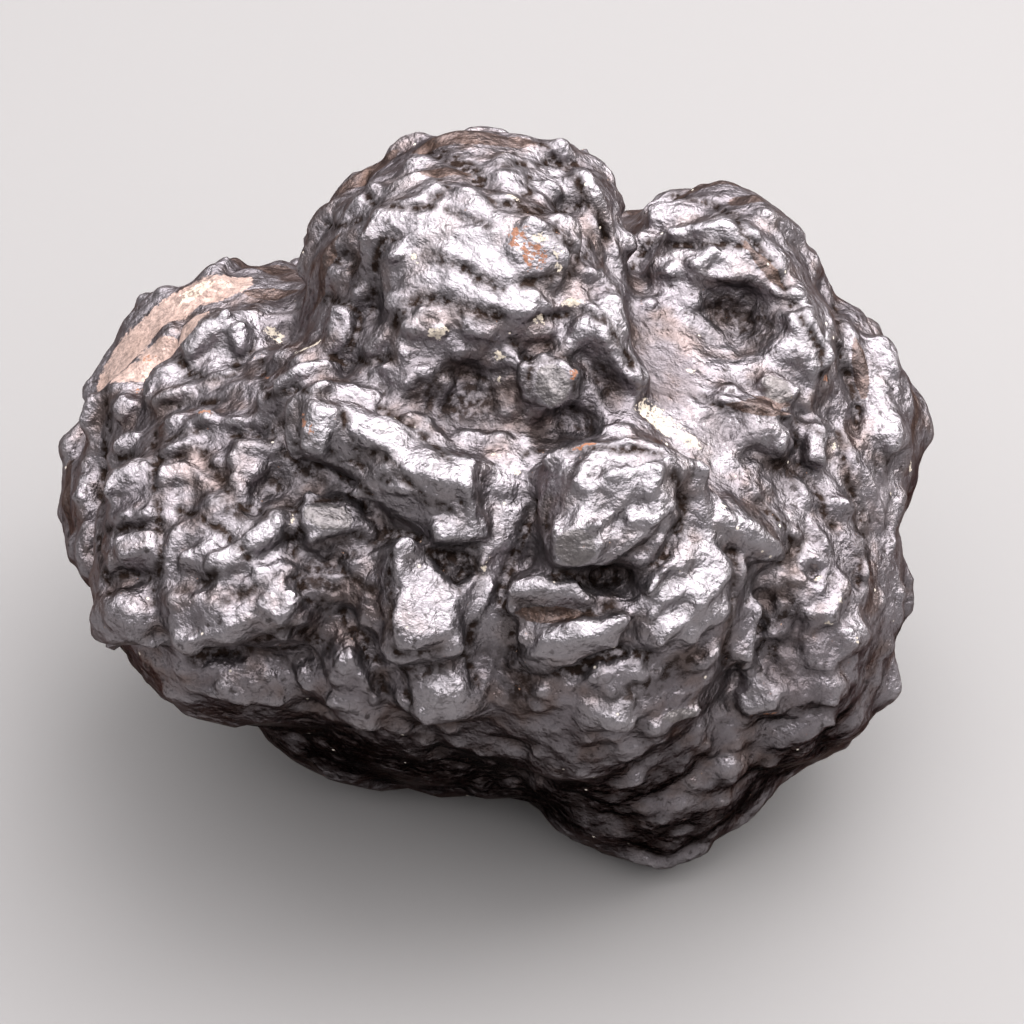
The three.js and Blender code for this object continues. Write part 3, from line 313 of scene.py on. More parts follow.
        ("bead", (17.6, 5.5), (1.1, 0.8), 0.4, 0, 15), ("bead", (18.5, 6.8), (0.8, 0.9), 0.4, 0, 10),
        ("ridge", (18.9, 4.6), (1.4, 0.5), 0.4, 40, 0), ("block", (19.2, 8.8), (1.7, 1.3), 0.4, -48, 5),
        ("bead", (20.9, 6.9), (2.1, 1.3), 0.4, -58, 5), ("bead", (21.3, 5.3), (1.1, 0.9), 0.4, -60, 10),
        ("bead", (21.1, 3.5), (2.8, 1.5), 0.5, 85, 12), ("ridge", (12.3, 11.2), (3.8, 0.7), 0.6, 3, 30),
        ("ridge", (14.4, 10.8), (1.9, 0.7), 0.6, -45, 15), ("block", (11, 12.3), (1.7, 1.2), 0.4, 50, 12),
        ("block", (9, 11.7), (1.8, 1.2), 0.5, -30, 15), ("bead", (8.3, 9.8), (1.3, 1), 0.4, 50, 5),
        ("ridge", (12.7, 12.4), (1.8, 0.6), 0.4, 8, 20), ("block", (15.1, 5.4), (2.3, 1.6), 0.6, -30, 15),
        ("bead", (16.4, 4.8), (1.2, 0.8), 0.5, 0, 10), ("bead", (12.5, 5.3), (1.1, 0.5), 0.5, -10, 20),
        ("ridge", (11.7, 4.6), (1.7, 0.5), 0.4, 50, 5), ("ridge", (14, 4.4), (4, 0.6), 0.6, -9, 0),
        ("ridge", (17, 3.9), (2.4, 0.5), 0.5, -5, 10), ("block", (14.9, 3), (1.9, 1.5), 0.7, -38, 20),
        ("block", (12.9, 2.4), (2.2, 1), 0.5, 38, 20), ("block", (17, 2.4), (2.3, 1.3), 0.6, 82, 15),
        ("ridge", (18, 2.2), (1.8, 0.4), 0.5, -80, 5), ("ridge", (18.7, 2.6), (3.6, 0.4), 0.4, -80, 0),
        ("ridge", (19.6, 3.4), (2.2, 0.5), 0.4, 80, 0), ("bead", (17, 0.9), (1.1, 0.8), 0.4, 70, 10),
    ],
    "right front": [
        ("block", (10.6, 1.3), (2.5, 1), 0.4, 5, 20), ("bead", (16.3, -0.1), (1.7, 0.8), 0.6, -62, 15),
        ("bead", (18.2, -0.7), (1.7, 0.6), 0.6, 10, 25), ("ridge", (19.2, 0), (1.6, 0.4), 0.5, -60, 10),
        ("ridge", (20, 0.4), (1.5, 0.4), 0.4, -65, 10), ("ridge", (20.7, 0.1), (1.1, 0.4), 0.4, -80, 10),
        ("bead", (13.2, -2.1), (5.6, 1.6), 1, -8, 15), ("block", (11.6, -3.5), (2.8, 1.1), 0.4, -18, 15),
        ("ridge", (17.2, -2.4), (2.4, 0.7), 0.6, -55, 12), ("bead", (16.1, -2.3), (0.8, 0.7), 0.4, 0, 10),
        ("bead", (16.7, -3.5), (2.1, 0.7), 0.5, -12, 25), ("block", (13.4, -7.6), (2.9, 1.3), 0.4, 80, 8),
        ("ridge", (13.1, -5.4), (2.6, 0.4), 0.4, 80, 0), ("block", (15.7, -4.5), (1.9, 0.9), 0.5, -8, 10),
        ("bead", (17.3, -4.8), (1, 0.6), 0.4, 60, 10), ("bead", (16.8, -5.5), (1.3, 0.6), 0.4, -10, 15),
        ("block", (15.1, -6.4), (1.7, 0.9), 0.5, 0, 10), ("bead", (18.6, -7.4), (1.3, 0.9), 0.5, 20, 10),
        ("ridge", (16.6, -8.5), (2.1, 0.7), 0.5, 30, 12), ("bead", (15.5, -9.4), (1.2, 0.9), 0.6, 0, 10),
        ("bead", (14.6, -10.4), (2.1, 1), 0.6, 5, 15), ("bead", (17.7, -10.2), (1.9, 1.1), 0.7, -10, 15),
        ("ridge", (17, -12), (2.6, 0.7), 0.4, -20, 10), ("bead", (16.2, -11.2), (1.2, 0.7), 0.5, 40, 10),
        ("block", (19.4, -3.7), (2.4, 0.8), 0.5, 85, 10), ("bead", (18.4, -5.4), (1.5, 1), 0.5, 50, 0),
        ("bead", (13.5, -12.9), (1.8, 0.9), 0.4, 10, 5), ("bead", (18.9, -9), (1.2, 0.8), 0.4, 30, 5),
        ("ridge", (20.4, -2), (2.2, 0.5), 0.4, 85, 0), ("bead", (14.2, -5), (1.4, 0.8), 0.4, 10, 5),
        ("bead", (13.4, 0.2), (2, 0.9), 0.4, -20, 10), ("bead", (11.6, -0.3), (1.8, 0.8), 0.4, -30, 10),
    ],
}
dents = [  # place, half sizes, turn, depth in mm
    ((5.2, -4.7), (2, 0.8), -8, 0.5), ((12.3, 9.8), (1.8, 1.2), 10, 0.25), ((14, 8.6), (1.5, 1.7), 20, 0.3),
    ((4.3, 3.7), (1.6, 0.9), -25, 0.6), ((-1.8, -4), (1.2, 0.8), -20, 0.5), ((6.4, 6), (0.9, 1.8), 15, 0.3),
    ((21.3, 1.5), (1, 0.8), 0, 0.3), ((15.3, -8), (1.4, 2.4), 0, 0.3), ((-3.9, -9), (1.3, 0.5), 10, 0.4),
]
# Seams between crystals, grooved, and painted dark, partly brown in the groove and partly painted shade:
# places along each, half its width, depth
seams = [
    ([(-3.6, 18.1), (-2.4, 17.6), (-1.4, 17.1), (-0.7, 16.2), (0.2, 15.4), (1.3, 14.8), (3, 14.7),
      (4.6, 15.1)], 0.6, 0.35),
    ([(-5, 13.4), (-5.9, 13.1), (-6.2, 12.2), (-6.1, 10.8), (-6.3, 9.2)], 0.35, 0.3),
    ([(3.2, 13.8), (4.1, 13.3), (4.4, 12.4), (4.1, 11.6), (3.1, 11.1), (1.4, 11)], 0.42, 0.4),
    ([(-5, 8.8), (-4.7, 9.6), (-3.6, 10), (-2.2, 9.9), (-0.8, 9.4), (0.4, 9.2)], 0.45, 0.2),
    ([(-8.7, 10), (-7.6, 9.9), (-7, 9.3), (-7.1, 8.2), (-7.8, 7.2), (-8.6, 7)], 0.35, 0.3),
    ([(0.3, 17.1), (1.8, 17.1), (3, 17.2), (4.8, 17.3)], 0.3, 0.2),
    ([(2.5, 18.4), (3, 17.8), (3.3, 17.2), (4.4, 16.5), (5.3, 15), (6, 13.4), (5.6, 12.4)], 0.3, 0.25),
    ([(-6.4, 16.9), (-6.8, 15.9), (-6, 15), (-4.6, 15.1), (-3, 15)], 0.28, 0.2),
    ([(-3, 16.9), (-2.4, 16), (-3.2, 15.4)], 0.3, 0.2), ([(-8.8, 14), (-7.6, 14), (-6.8, 14.4)], 0.3, 0.25),
    ([(-8.3, 12.2), (-7.3, 12)], 0.4, 0.3), ([(-2.4, 14.8), (-1.2, 14.3), (0, 13.8)], 0.25, 0.2),
    ([(-3.4, 12.4), (-2, 12), (-0.6, 11.2), (0.6, 10.7)], 0.35, 0.15),
    ([(1.9, 16.6), (2, 15.6), (1.2, 15)], 0.25, 0.2),
    ([(5.2, 9.6), (6, 8.8), (6.8, 7.6), (7.5, 6.6)], 0.35, 0.3),
    ([(2.2, 9), (3.3, 9.3), (4.6, 9.4), (5.2, 9.6)], 0.3, 0.25),
    ([(-8, 6.8), (-7, 6.9), (-5.8, 6.9), (-5, 7)], 0.35, 0.35),
    ([(1, 8), (1.7, 7), (3, 7), (4, 7)], 0.3, 0.2),
    ([(-12.1, 6.8), (-12, 5), (-10.8, 5.1), (-9.5, 5.3), (-8.6, 5.3)], 0.3, 0.25),
    ([(2, 6.9), (1.9, 5.6), (2.4, 4.4)], 0.25, 0.2),
    ([(-13.6, 3), (-12.5, 3.1), (-11.6, 3.3), (-10.8, 3.6)], 0.35, 0.35),
    ([(4.2, 6.6), (4.4, 5.2), (4, 4.2)], 0.3, 0.3),
    ([(-10.3, 4.7), (-10.5, 3.6), (-10.3, 2), (-10.2, 0.8)], 0.35, 0.25),
    ([(-9.9, 2.8), (-8.6, 2), (-7.2, 1.4), (-6.2, 0.9), (-5.3, 0.4)], 0.28, 0.2),
    ([(-9.8, 1.6), (-8.4, 1), (-7, 0.4), (-6.2, -0.4)], 0.28, 0.2),
    ([(-7.8, 4), (-7.8, 3), (-7.2, 2.2), (-6, 1.9), (-5, 1.2), (-4.4, 0.3), (-3.4, -0.5), (-2.2, -0.8),
      (-1.2, -0.6)], 0.3, 0.3),
    ([(-5.9, 4.3), (-5, 3.8), (-4.2, 3.3), (-3.8, 2.9), (-2.4, 1.7)], 0.35, 0.3),
    ([(-10, -0.4), (-8.8, -0.4), (-7.6, -0.3), (-6.8, -0.5), (-6.4, -1.4), (-5.4, -2.1), (-4.6, -2.3),
      (-3.4, -2.6)], 0.35, 0.3), ([(-9.4, -3), (-8.2, -2.7), (-7.2, -2.3), (-6.2, -1.9)], 0.42, 0.4),
    ([(-10.2, -0.8), (-10.2, -2.4), (-10.7, -3.2), (-10.4, -4.4), (-9.8, -5.4), (-8.6, -6)], 0.45, 0.25),
    ([(-5.3, -3), (-5.4, -4.5), (-5.3, -6), (-5.2, -7.4)], 0.28, 0.25),
    ([(-5, -8.5), (-4, -8.8), (-2.8, -8.5)], 0.5, 0.35),
    ([(-3.4, -3.2), (-2, -3.4), (-0.8, -3.1)], 0.4, 0.3),
    ([(-3, -3.4), (-2.3, -4.3), (-1.7, -5.1), (-1.2, -4)], 0.4, 0.3),
    ([(2.3, -0.6), (1.7, -2.4), (0.9, -4), (0.5, -5.4), (0.9, -7), (1.2, -8.4)], 0.45, 0.3),
    ([(-7.7, -6.6), (-6.8, -7.8), (-6.2, -9), (-5.8, -10.8)], 0.6, 0.35),
    ([(-8.6, -3.6), (-7.2, -4.6), (-6.2, -5.4)], 0.35, 0.25),
    ([(-4.5, -10.8), (-4, -12), (-3.2, -13), (-2.4, -13.8)], 0.45, 0.3),
    ([(-1, -7), (-1.4, -8.6), (-0.8, -10.4)], 0.35, 0.25),
    ([(-15.6, -8.8), (-13, -8.2), (-11.6, -7.5), (-10, -7.4), (-8.4, -8.2)], 0.5, 0.3),
    ([(1.6, 1.9), (3, 2.2), (4.4, 2.2), (6, 2.2), (7.6, 2.1), (9, 1.9)], 0.25, 0.2),
    ([(3.4, -4.4), (4.6, -4.7), (6, -4.6), (7.2, -4.3)], 0.5, 0.4),
    ([(3, -0.2), (2.8, -1.6), (3.1, -2.6)], 0.3, 0.25),
    ([(9.6, 0.8), (10.1, -0.8), (9.6, -2.4), (8.9, -3.6), (7.8, -4.4)], 0.4, 0.3),
    ([(1.4, -6.2), (3.2, -6.6), (4.6, -6.5), (6.4, -6)], 0.45, 0.3),
    ([(2.6, -9.6), (4.4, -9.3), (6.6, -8.5), (8.4, -8.8)], 0.5, 0.3),
    ([(12.2, -9), (12.6, -7), (12.8, -5.4), (12.8, -3.8), (12.6, -3)], 0.35, 0.3),
    ([(7.4, 11.8), (8.2, 13.2), (10, 12.9), (11.8, 13), (13.4, 12.9)], 0.3, 0.2),
    ([(9.4, 15.6), (11.4, 15.3), (12.8, 14.4), (13.6, 13.2), (14.8, 11.8), (15.6, 10.2), (16.4, 9),
      (17.4, 7.4), (17.3, 6)], 0.3, 0.25),
    ([(18, 9.8), (18.4, 7.6), (18.7, 5.8), (19.3, 4.4), (19.2, 3)], 0.35, 0.25),
    ([(10.6, 5), (12, 4.6), (14, 4.2), (16, 3.7), (17.6, 3.1)], 0.32, 0.25),
    ([(15.9, 3), (16.4, 0.8), (17.4, -0.8), (18, -2)], 0.3, 0.25),
    ([(18.2, 3), (18.7, 0.6), (19.4, -1), (19.7, -3), (19.2, -5)], 0.3, 0.25),
    ([(14, -0.6), (15.2, -1.6), (16, -3), (15, -3.8)], 0.3, 0.25),
    ([(-20.4, 5.8), (-20.2, 4), (-20.4, 2), (-20.5, 0), (-20.7, -2), (-20.5, -4), (-20, -5.6)], 0.32, 0.3),
    ([(-19.9, 1.7), (-18.6, 1.8), (-17.2, 1.6), (-15.8, 2.2)], 0.3, 0.25),
    ([(-20.2, -2), (-18.6, -2), (-17.4, -1.8)], 0.32, 0.3),
    ([(-20.2, -4.4), (-18.8, -4.4), (-17.6, -4.7)], 0.35, 0.3),
    ([(-17.7, 3), (-17.8, 0.4), (-17.4, -2.2), (-17.5, -4), (-17.9, -6)], 0.3, 0.25),
    ([(-16.6, 7), (-16, 6.2), (-14.6, 6), (-13.6, 6.4), (-12.6, 7.6)], 0.35, 0.25),
    ([(-17.6, 4.6), (-15.6, 4.6), (-13.8, 4.8)], 0.3, 0.25),
    ([(-15.4, 2.2), (-14.4, 0.8), (-13, -0.9), (-11.6, -1.3)], 0.35, 0.25),
    ([(-16.4, -1), (-14.8, -1.6), (-12.6, -3.6)], 0.3, 0.2),
]
# Small crystals set side by side: kind, place, half sizes and turn of the patch, size and rise of each, and
# their spacing
fields = [
    ("ridge", (-1.4, 12.4), (4.4, 2.9), -22, (1.6, 0.5), 0.22, (1.5, 0.8)),
    ("bead", (-1.4, 12.4), (4.2, 2.6), -20, (0.7, 0.5), 0.16, (1.4, 1)),
    ("bead", (-2.6, 15.9), (1.4, 0.6), -20, (1.2, 0.6), 0.25, (1.3, 0.9)),
    ("bead", (3, 10), (2, 1), 15, (1.2, 0.8), 0.3, (1.2, 1)),
    ("ridge", (7.2, -0.6), (3.2, 2.8), 34, (2, 0.6), 0.5, (1.5, 0.8)),
    ("bead", (5.6, 0.4), (1.4, 1.8), 20, (0.8, 0.6), 0.4, (1, 0.8)),
    ("ridge", (9.6, -5.9), (2.4, 2), 50, (1.5, 0.6), 0.42, (1.3, 0.8)),
    ("bead", (4.4, -7.6), (2.6, 1), 14, (1.3, 0.6), 0.4, (1.2, 0.75)),
    ("bead", (5, -10.6), (5, 1.5), 0, (0.95, 0.8), 0.3, (1.15, 1.05)),
    ("bead", (7, -14.4), (6.8, 4), 0, (1.1, 0.75), 0.26, (1.3, 1.1)),
    ("bead", (-0.8, 4.9), (4.8, 2.6), 0, (1, 0.85), 0.42, (1.1, 1.05)),
    ("bead", (12.6, 9.2), (3, 2.2), 0, (0.9, 0.75), 0.3, (1.15, 1.05)),
    ("bead", (9.2, 6), (2, 3), -10, (0.8, 0.6), 0.14, (1.1, 1)),
    ("block", (16.2, -7.8), (3.2, 4), 0, (1.5, 1.2), 0.5, (1.7, 1.5)),
    ("bead", (16, -7.8), (3, 4), 0, (1, 0.8), 0.45, (1.4, 1.3)),
    ("bead", (20.6, -5), (1, 5), 0, (1, 1.5), 0.35, (1.3, 1.8)),
    ("bead", (12.6, -13), (3, 2), 0, (1.1, 0.9), 0.4, (1.4, 1.3)),
    ("bead", (-3.4, -5.6), (1.4, 2.4), 0, (0.9, 0.6), 0.1, (1.2, 0.9)),
    ("bead", (-10.6, 8.2), (1.8, 1.4), 0, (0.8, 0.7), 0.25, (1.1, 1)),
    ("ridge", (-14.4, -3.6), (3, 2), 34, (2.2, 0.6), 0.26, (2, 1)),
    ("bead", (-11.8, -9.8), (5.4, 1.8), -15, (1.2, 0.75), 0.3, (1.3, 1.1)),
    ("bead", (-3.4, -12.8), (4.8, 2), -25, (1.3, 0.8), 0.3, (1.4, 1.1)),
    ("bead", (14.8, 1.8), (2.4, 2), 30, (1.3, 0.7), 0.28, (1.4, 1)),
    ("bead", (9, 12.2), (1.6, 1.2), 0, (1, 0.7), 0.24, (1.2, 1)),
    ("bead", (5.4, 14), (1, 2.2), -15, (0.7, 1.3), 0.24, (0.95, 1.4)),
]
fieldHabit = {
    "scatter": 0.35,  # share of the spacing
    "bend": 0.7,  # radians that a crystal is turned from its field, at most half to each side
    "sizes": (0.6, 0.8),  # least size, and what chance adds
    "skywards": 0.25,
}
spread = {  # crystals of the unseen sides
    "count": 1100,
    "kinds": ("bead", "block", "bead", "ridge", "block"),
    "widths": (1.1, 2.6),  # mm
    "flatness": 0.65,  # share of the width that a crystal is tall
    "rise": 0.17,  # share of its width that it stands out
    "lean": 0.5,
    "jitter": 6,  # mm
    "lowest": 2,  # mm over the ground
    "outlineBand": 0.35,  # how far from the seen outline they stay
}
farOut = 80 * mm  # outside the stone
crystalForm = {
    "tops": {  # how far each kind narrows to its top, along and over its turn
        "block": (0.74, 0.66),
        "ridge": (0.8, 0.12),
        "peak": (0.25, 0.2),
        "wedge": (0.85, 0.75),
    },
    "wedgeEnd": 0.4,
    "plateRadii": (0.52, 0.45),
    "cornerShift": 0.08,  # share of the crystal's size
    "root": 0.3,  # mm that it reaches into the ground, and a share of its height
    "rootShare": 0.6,
}


def addCrystal(bm, kind, wide, tall, rise, place, along, out):
    deep = rise + tall * crystalForm["rootShare"] + crystalForm["root"]
    if kind == "bead":
        made = bmesh.ops.create_icosphere(bm, subdivisions=2, radius=0.5)["verts"]
    elif kind == "plate":
        low, high = crystalForm["plateRadii"]
        cone = bmesh.ops.create_cone(bm, cap_ends=True, segments=6, radius1=low, radius2=high, depth=1)
        made = cone["verts"]
    else:
        made = bmesh.ops.create_cube(bm, size=1)["verts"]
        narrow = crystalForm["tops"][kind]
        for corner in made:
            if kind == "wedge" and corner.co.x > 0:
                corner.co.y *= crystalForm["wedgeEnd"]
            if corner.co.z > 0:
                corner.co.x *= narrow[0]
                corner.co.y *= narrow[1]
    if kind != "bead":
        for corner in made:
            corner.co += noise.random_unit_vector() * crystalForm["cornerShift"]
    along = alongSurface(along, out)
    axes = Matrix((along, out.cross(along), out)).transposed().to_4x4()
    sizes = Matrix.Diagonal((wide, tall, deep, 1))
    lift = Matrix.Translation((0, 0, rise - deep / 2))
    scaled = Matrix.Translation(place) @ Matrix.Scale(mm, 4) @ axes @ lift @ sizes
    bmesh.ops.transform(bm, matrix=scaled, verts=made)


# Place at the middle depth of a crystal's footprint, and normal averaged over it
def footing(surface, across, up, reach):
    found = [seenAt(surface, across + dx * reach, up + dy * reach)
             for dx, dy in ((0, 0), (0.4, 0), (-0.4, 0), (0, 0.4), (0, -0.4))]
    found = [(place, normal) for place, normal in found if place is not None]
    depths = sorted((place - middle).dot(towardsEye) for place, _ in found)
    place = found[0][0] + towardsEye * (depths[len(depths) // 2] - (found[0][0] - middle).dot(towardsEye))
    normal = sum((normal for _, normal in found), Vector()).normalized()
    return place, normal


def addPlacedCrystals(bm, surface):
    turned, least, crowding = skin["towardsNormal"], skin["outlineStanding"], skin["crowding"]
    for rows in crystals.values():
        for kind, (across, up), (wide, tall), rise, degrees, lean in rows:
            place, normal = footing(surface, across, up, (wide + tall) / 2)
            out = (normal * turned + towardsEye * (1 - turned)).normalized()
            out.rotate(Quaternion(viewRight, -math.radians(lean)))
            facing = min(max(normal.dot(towardsEye), 0) * 2, 1)
            stand = rise * skin["standing"] * (least + (1 - least) * facing)
            along = seenDirection(math.radians(degrees))
            addCrystal(bm, kind, wide * crowding, tall * crowding, stand, place, along, out)
    return sum(map(len, crystals.values()))


def addFields(bm, surface):
    placed = 0
    least, more = fieldHabit["sizes"]
    for kind, (across, up), (halfWide, halfTall), degrees, (wide, tall), rise, (step, rowStep) in fields:
        turn = math.radians(degrees)
        rows, columns = int(halfTall / rowStep), int(halfWide / step) + 1
        for row, column in itertools.product(range(-rows, rows + 1), range(-columns, columns + 1)):
            shift = noise.random_unit_vector() * fieldHabit["scatter"]
            sideways = (column + row % 2 / 2 + shift.x) * step
            upwards = (row + shift.y) * rowStep
            grade, bend = noise.random(), noise.random()
            if (sideways / halfWide) ** 2 + (upwards / halfTall) ** 2 > 1:
                continue
            place, normal = seenAt(surface, across + sideways * math.cos(turn) - upwards * math.sin(turn),
                                   up + sideways * math.sin(turn) + upwards * math.cos(turn))
            if place is None:
                continue
            along = seenDirection(turn + (bend - 0.5) * fieldHabit["bend"])
            out = (normal + viewUp * fieldHabit["skywards"]).normalized()
            size = least + more * grade
            addCrystal(bm, kind, wide * size, tall * size, rise * size, place, along, out)
            placed += 1
    return placed


def addSpread(bm, surface):
    placed = 0
    least, most = spread["widths"]
    for ray in evenDirections(spread["count"]):
        start = middle + noise.random_unit_vector() * spread["jitter"] * mm
        place, normal, _, _ = surface.ray_cast(start + ray * farOut, -ray)
        chance, grade, leanA, leanB = [noise.random() for _ in range(4)]
        if place is None or place.z < spread["lowest"] * mm:
            continue
        if normal.dot(towardsEye) > -spread["outlineBand"]:
            continue
        wide = least + (most - least) * grade ** 2
        kind = spread["kinds"][int(chance * 4.99)]
        out = (normal + Vector((leanA - 0.5, leanB - 0.5, 0)) * spread["lean"]).normalized()
        along = noise.random_unit_vector()
        addCrystal(bm, kind, wide, wide * spread["flatness"], wide * spread["rise"], place, along, out)
        placed += 1
    return placed


def withModifiers(mesh, *settings, hidden=None):
    shell = bpy.data.objects.new("shell", mesh)
    bpy.context.scene.collection.objects.link(shell)
    if hidden is not None:
        group = shell.vertex_groups.new(name="hidden")
        group.add(np.flatnonzero(hidden).tolist(), 1, "REPLACE")
        group.add(np.flatnonzero(~hidden).tolist(), skin["hiddenShare"], "REPLACE")
    for kind, values in settings:
        modifier = shell.modifiers.new(kind, kind)
        for name, value in values.items():
            setattr(modifier, name, value)
    depsgraph = bpy.context.evaluated_depsgraph_get()
    made = bpy.data.meshes.new_from_object(shell.evaluated_get(depsgraph))
    bpy.data.objects.remove(shell)
    return made


# Worn crystals side by side: each a rounded lump with a lid of its own tilt
def lumpHeight(place, tilt):
    distances, seeds = noise.voronoi(place)
    lean = noise.cell_vector(seeds[0] * 31) * 2 - Vector((1, 1, 1))
    fullness = 1 - (distances[0] / distances[1]) ** 3
    return fullness * (0.6 + 0.4 * noise.cell(seeds[0] * 17) + tilt * lean.dot(place - seeds[0]) * 2)


def wrinkleHeight(place):
    return abs(noise.noise(place))


# Which way the wrinkles run: place across and up, and degrees from the viewer's right
wrinkleFlows = [
    ((-1.5, 12.5), -18), ((-5, 15), 30), ((3, 15.5), -35), ((0, 18.5), 5), ((-8, 11), 85), ((5.5, 12), -70),
    ((-18, 8.5), 45), ((-14, 7.5), 60), ((-10, 6), 32), ((-16, 5), 5), ((-14, 3.6), 0), ((-5, 2.5), -35),
    ((-8, 0), -30), ((0, 1), -12), ((-19.5, 1), 75), ((-20.5, -5), 85), ((-15, -2), -25), ((-12, -5), 28),
    ((-14, -7.5), 8), ((-8.5, -2), 15), ((-4, -5.5), 88), ((-7.5, -9), 70), ((0.5, -5), 82), ((0, -11), 75),
    ((3.5, 6), -60), ((6, 8), -60), ((6.5, 0), 36), ((8.5, -2.5), 34), ((3.5, -5), -5), ((4.5, -8), 12),
    ((10.5, -5), 55), ((12, -8), 75), ((9, 6), 70), ((10, 14), 10), ((13, 9), -20), ((16.5, 7), -30),
    ((19, 7), -70), ((21, 3), 80), ((12, 2), -5), ((15, 4), 10), ((13.5, -2.4), -14), ((16.5, -1), -60),
    ((17, -5), -40), ((16, -10), 30), ((21.5, -7), 88), ((-8, -13), -15), ((4, -14), 20), ((9, -17), 40),
]


# Seats of the flow: where it is known on the seen side, and evenly spread elsewhere
def flowSeats(surface):
    seats = []
    for (across, up), degrees in wrinkleFlows:
        place, normal = seenAt(surface, across, up)
        seats.append((place / mm, alongSurface(seenDirection(math.radians(degrees)), normal)))
    for out in evenDirections(skin["hiddenSeats"]):
        place, normal, _, _ = surface.ray_cast(middle + out * farOut, -out)
        if place is None or normal.dot(towardsEye) > 0.1:
            continue
        seats.append((place / mm, noise.random_unit_vector().cross(normal).normalized()))
    return seats


# Relief that follows the flow, blended between the two nearest seats. Each layer has a size, a stretch and
# a height
def flowingRelief(places, seats, layers):
    nearby = treeOf([place for place, _ in seats])
    heights = np.zeros((len(layers), len(places)))
    for i, place in enumerate(map(Vector, places)):
        found = nearby.find_n(place, 2)
        share = 0.5 + 0.5 * min((found[1][2] - found[0][2]) / 1.2, 1)
        for (seat, which, _), weight in zip(found, (share, 1 - share)):
            if weight < 0.02:
                continue
            along = seats[which][1]
            offset = place - seat
            forward = along * offset.dot(along)
            shift = Vector((which * 7.3, 0, 0))
            for layer, (size, stretch, height) in enumerate(layers):
                heights[layer, i] += weight * height((offset - forward * (1 - 1 / stretch)) / size + shift)
    return heights


def surfaceOf(mesh):
    corners = [Vector(place) * mm for place in placesOf(mesh)]
    return BVHTree.FromPolygons(corners, [tuple(face.vertices) for face in mesh.polygons])


def meshFrom(bm, name):
    mesh = bpy.data.meshes.new(name)
    bm.to_mesh(mesh)
    bm.free()
    return mesh


# The CAD solid with some of its faces rubbed flat, then with crystals set on it
def crystalSolid():
    bm = bmesh.new()
    bm.from_mesh(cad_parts["stone"].data)
    bmesh.ops.remove_doubles(bm, verts=bm.verts, dist=0.001 * mm)
    remesh = {"mode": "VOXEL", "voxel_size": skin["groundVoxel"] * mm}
    ground = withModifiers(meshFrom(bm, "ground"), ("REMESH", remesh))
    places, edges = placesOf(ground), edgesOf(ground)
    facing = averaged(normalsOf(ground), edges, 8) @ np.array(towardsEye)
    atOutline = 1 - smoothStep(abs(facing), *skin["outlineBand"])
    grounded = smoothStep(places[:, 2], *skin["restHeights"])
    rubbedFlat(places, edges, skin["outlineRubbing"] * atOutline * grounded, skin["outlineRounds"])
    surface = surfaceOf(ground)
    rubbedFlat(places, edges, stainShares(places, surface, rubbedPlaces), skin["rubbing"])
    rubbedFlat(places, edges, stainShares(places, surface, softenedPlaces), skin["softening"])
    setPlaces(ground, places)
    surface = surfaceOf(ground)
    bm = bmesh.new()
    placed = addPlacedCrystals(bm, surface) + addFields(bm, surface)
    spreadOut = addSpread(bm, surface)
    print("stage:", placed, "crystals placed and", spreadOut, "spread")
    bm.from_mesh(ground)
    return meshFrom(bm, "stoneSkin")


# How much of the lumps and wrinkles each vertex keeps
def livelinessOf(places, normals, broadNormals, calm):
    quietest = skin["quietest"]
    patches = smoothStep(noiseAt(places, skin["patchSize"]), -0.3, 0.3)
    lively = (quietest + (1 - quietest) * patches) * (1 - skin["calming"] * calm)
    lively *= 1 - skin["underCalming"] * smoothStep(-normals[:, 2], 0.3, 0.9)
    seen = smoothStep(broadNormals @ np.array(towardsEye), 0.1, 0.4)
    return lively * (1 - (1 - skin["seenLumps"]) * seen)


# Lumps, wrinkles, dents and seams, in mm out from the surface
def reliefOf(places, surface, lively):
    beady = stainShares(places, surface, beadyPlaces)
    wormy = stainShares(places, surface, wormyPlaces)
    layers = [
        (size, skin["lumpStretch"], lambda place, tilt=tilt: lumpHeight(place, tilt))
        for size, _, tilt in skin["lumps"]
    ]
    layers.append((skin["wrinkleWidth"], skin["wrinkleLength"] / skin["wrinkleWidth"], wrinkleHeight))
    *lumps, wrinkles = flowingRelief(places, flowSeats(surface), layers)
    relief = np.zeros(len(places))
    shares = [lively, np.maximum(lively * 0.8, beady * 1.3)]
    for heights, (_, height, _), share in zip(lumps, skin["lumps"], shares):
        relief += height * (heights - skin["lumpLevel"]) * share
    relief += skin["wrinkleHeight"] * (2 * wrinkles - 0.3) * np.maximum(0.4 + 0.6 * lively, 1.6 * wormy)
    for spot, sizes, degrees, depth in dents:
        relief -= depth * stainShares(places, surface, [(spot, sizes, degrees)])
    depths, _ = seamShares(places, surface)
    relief -= depths * (0.7 + skin["seamVariation"] * noiseAt(places, 1.7))
    return relief * smoothStep(places[:, 2], *skin["restHeights"]) - skin["swelling"]


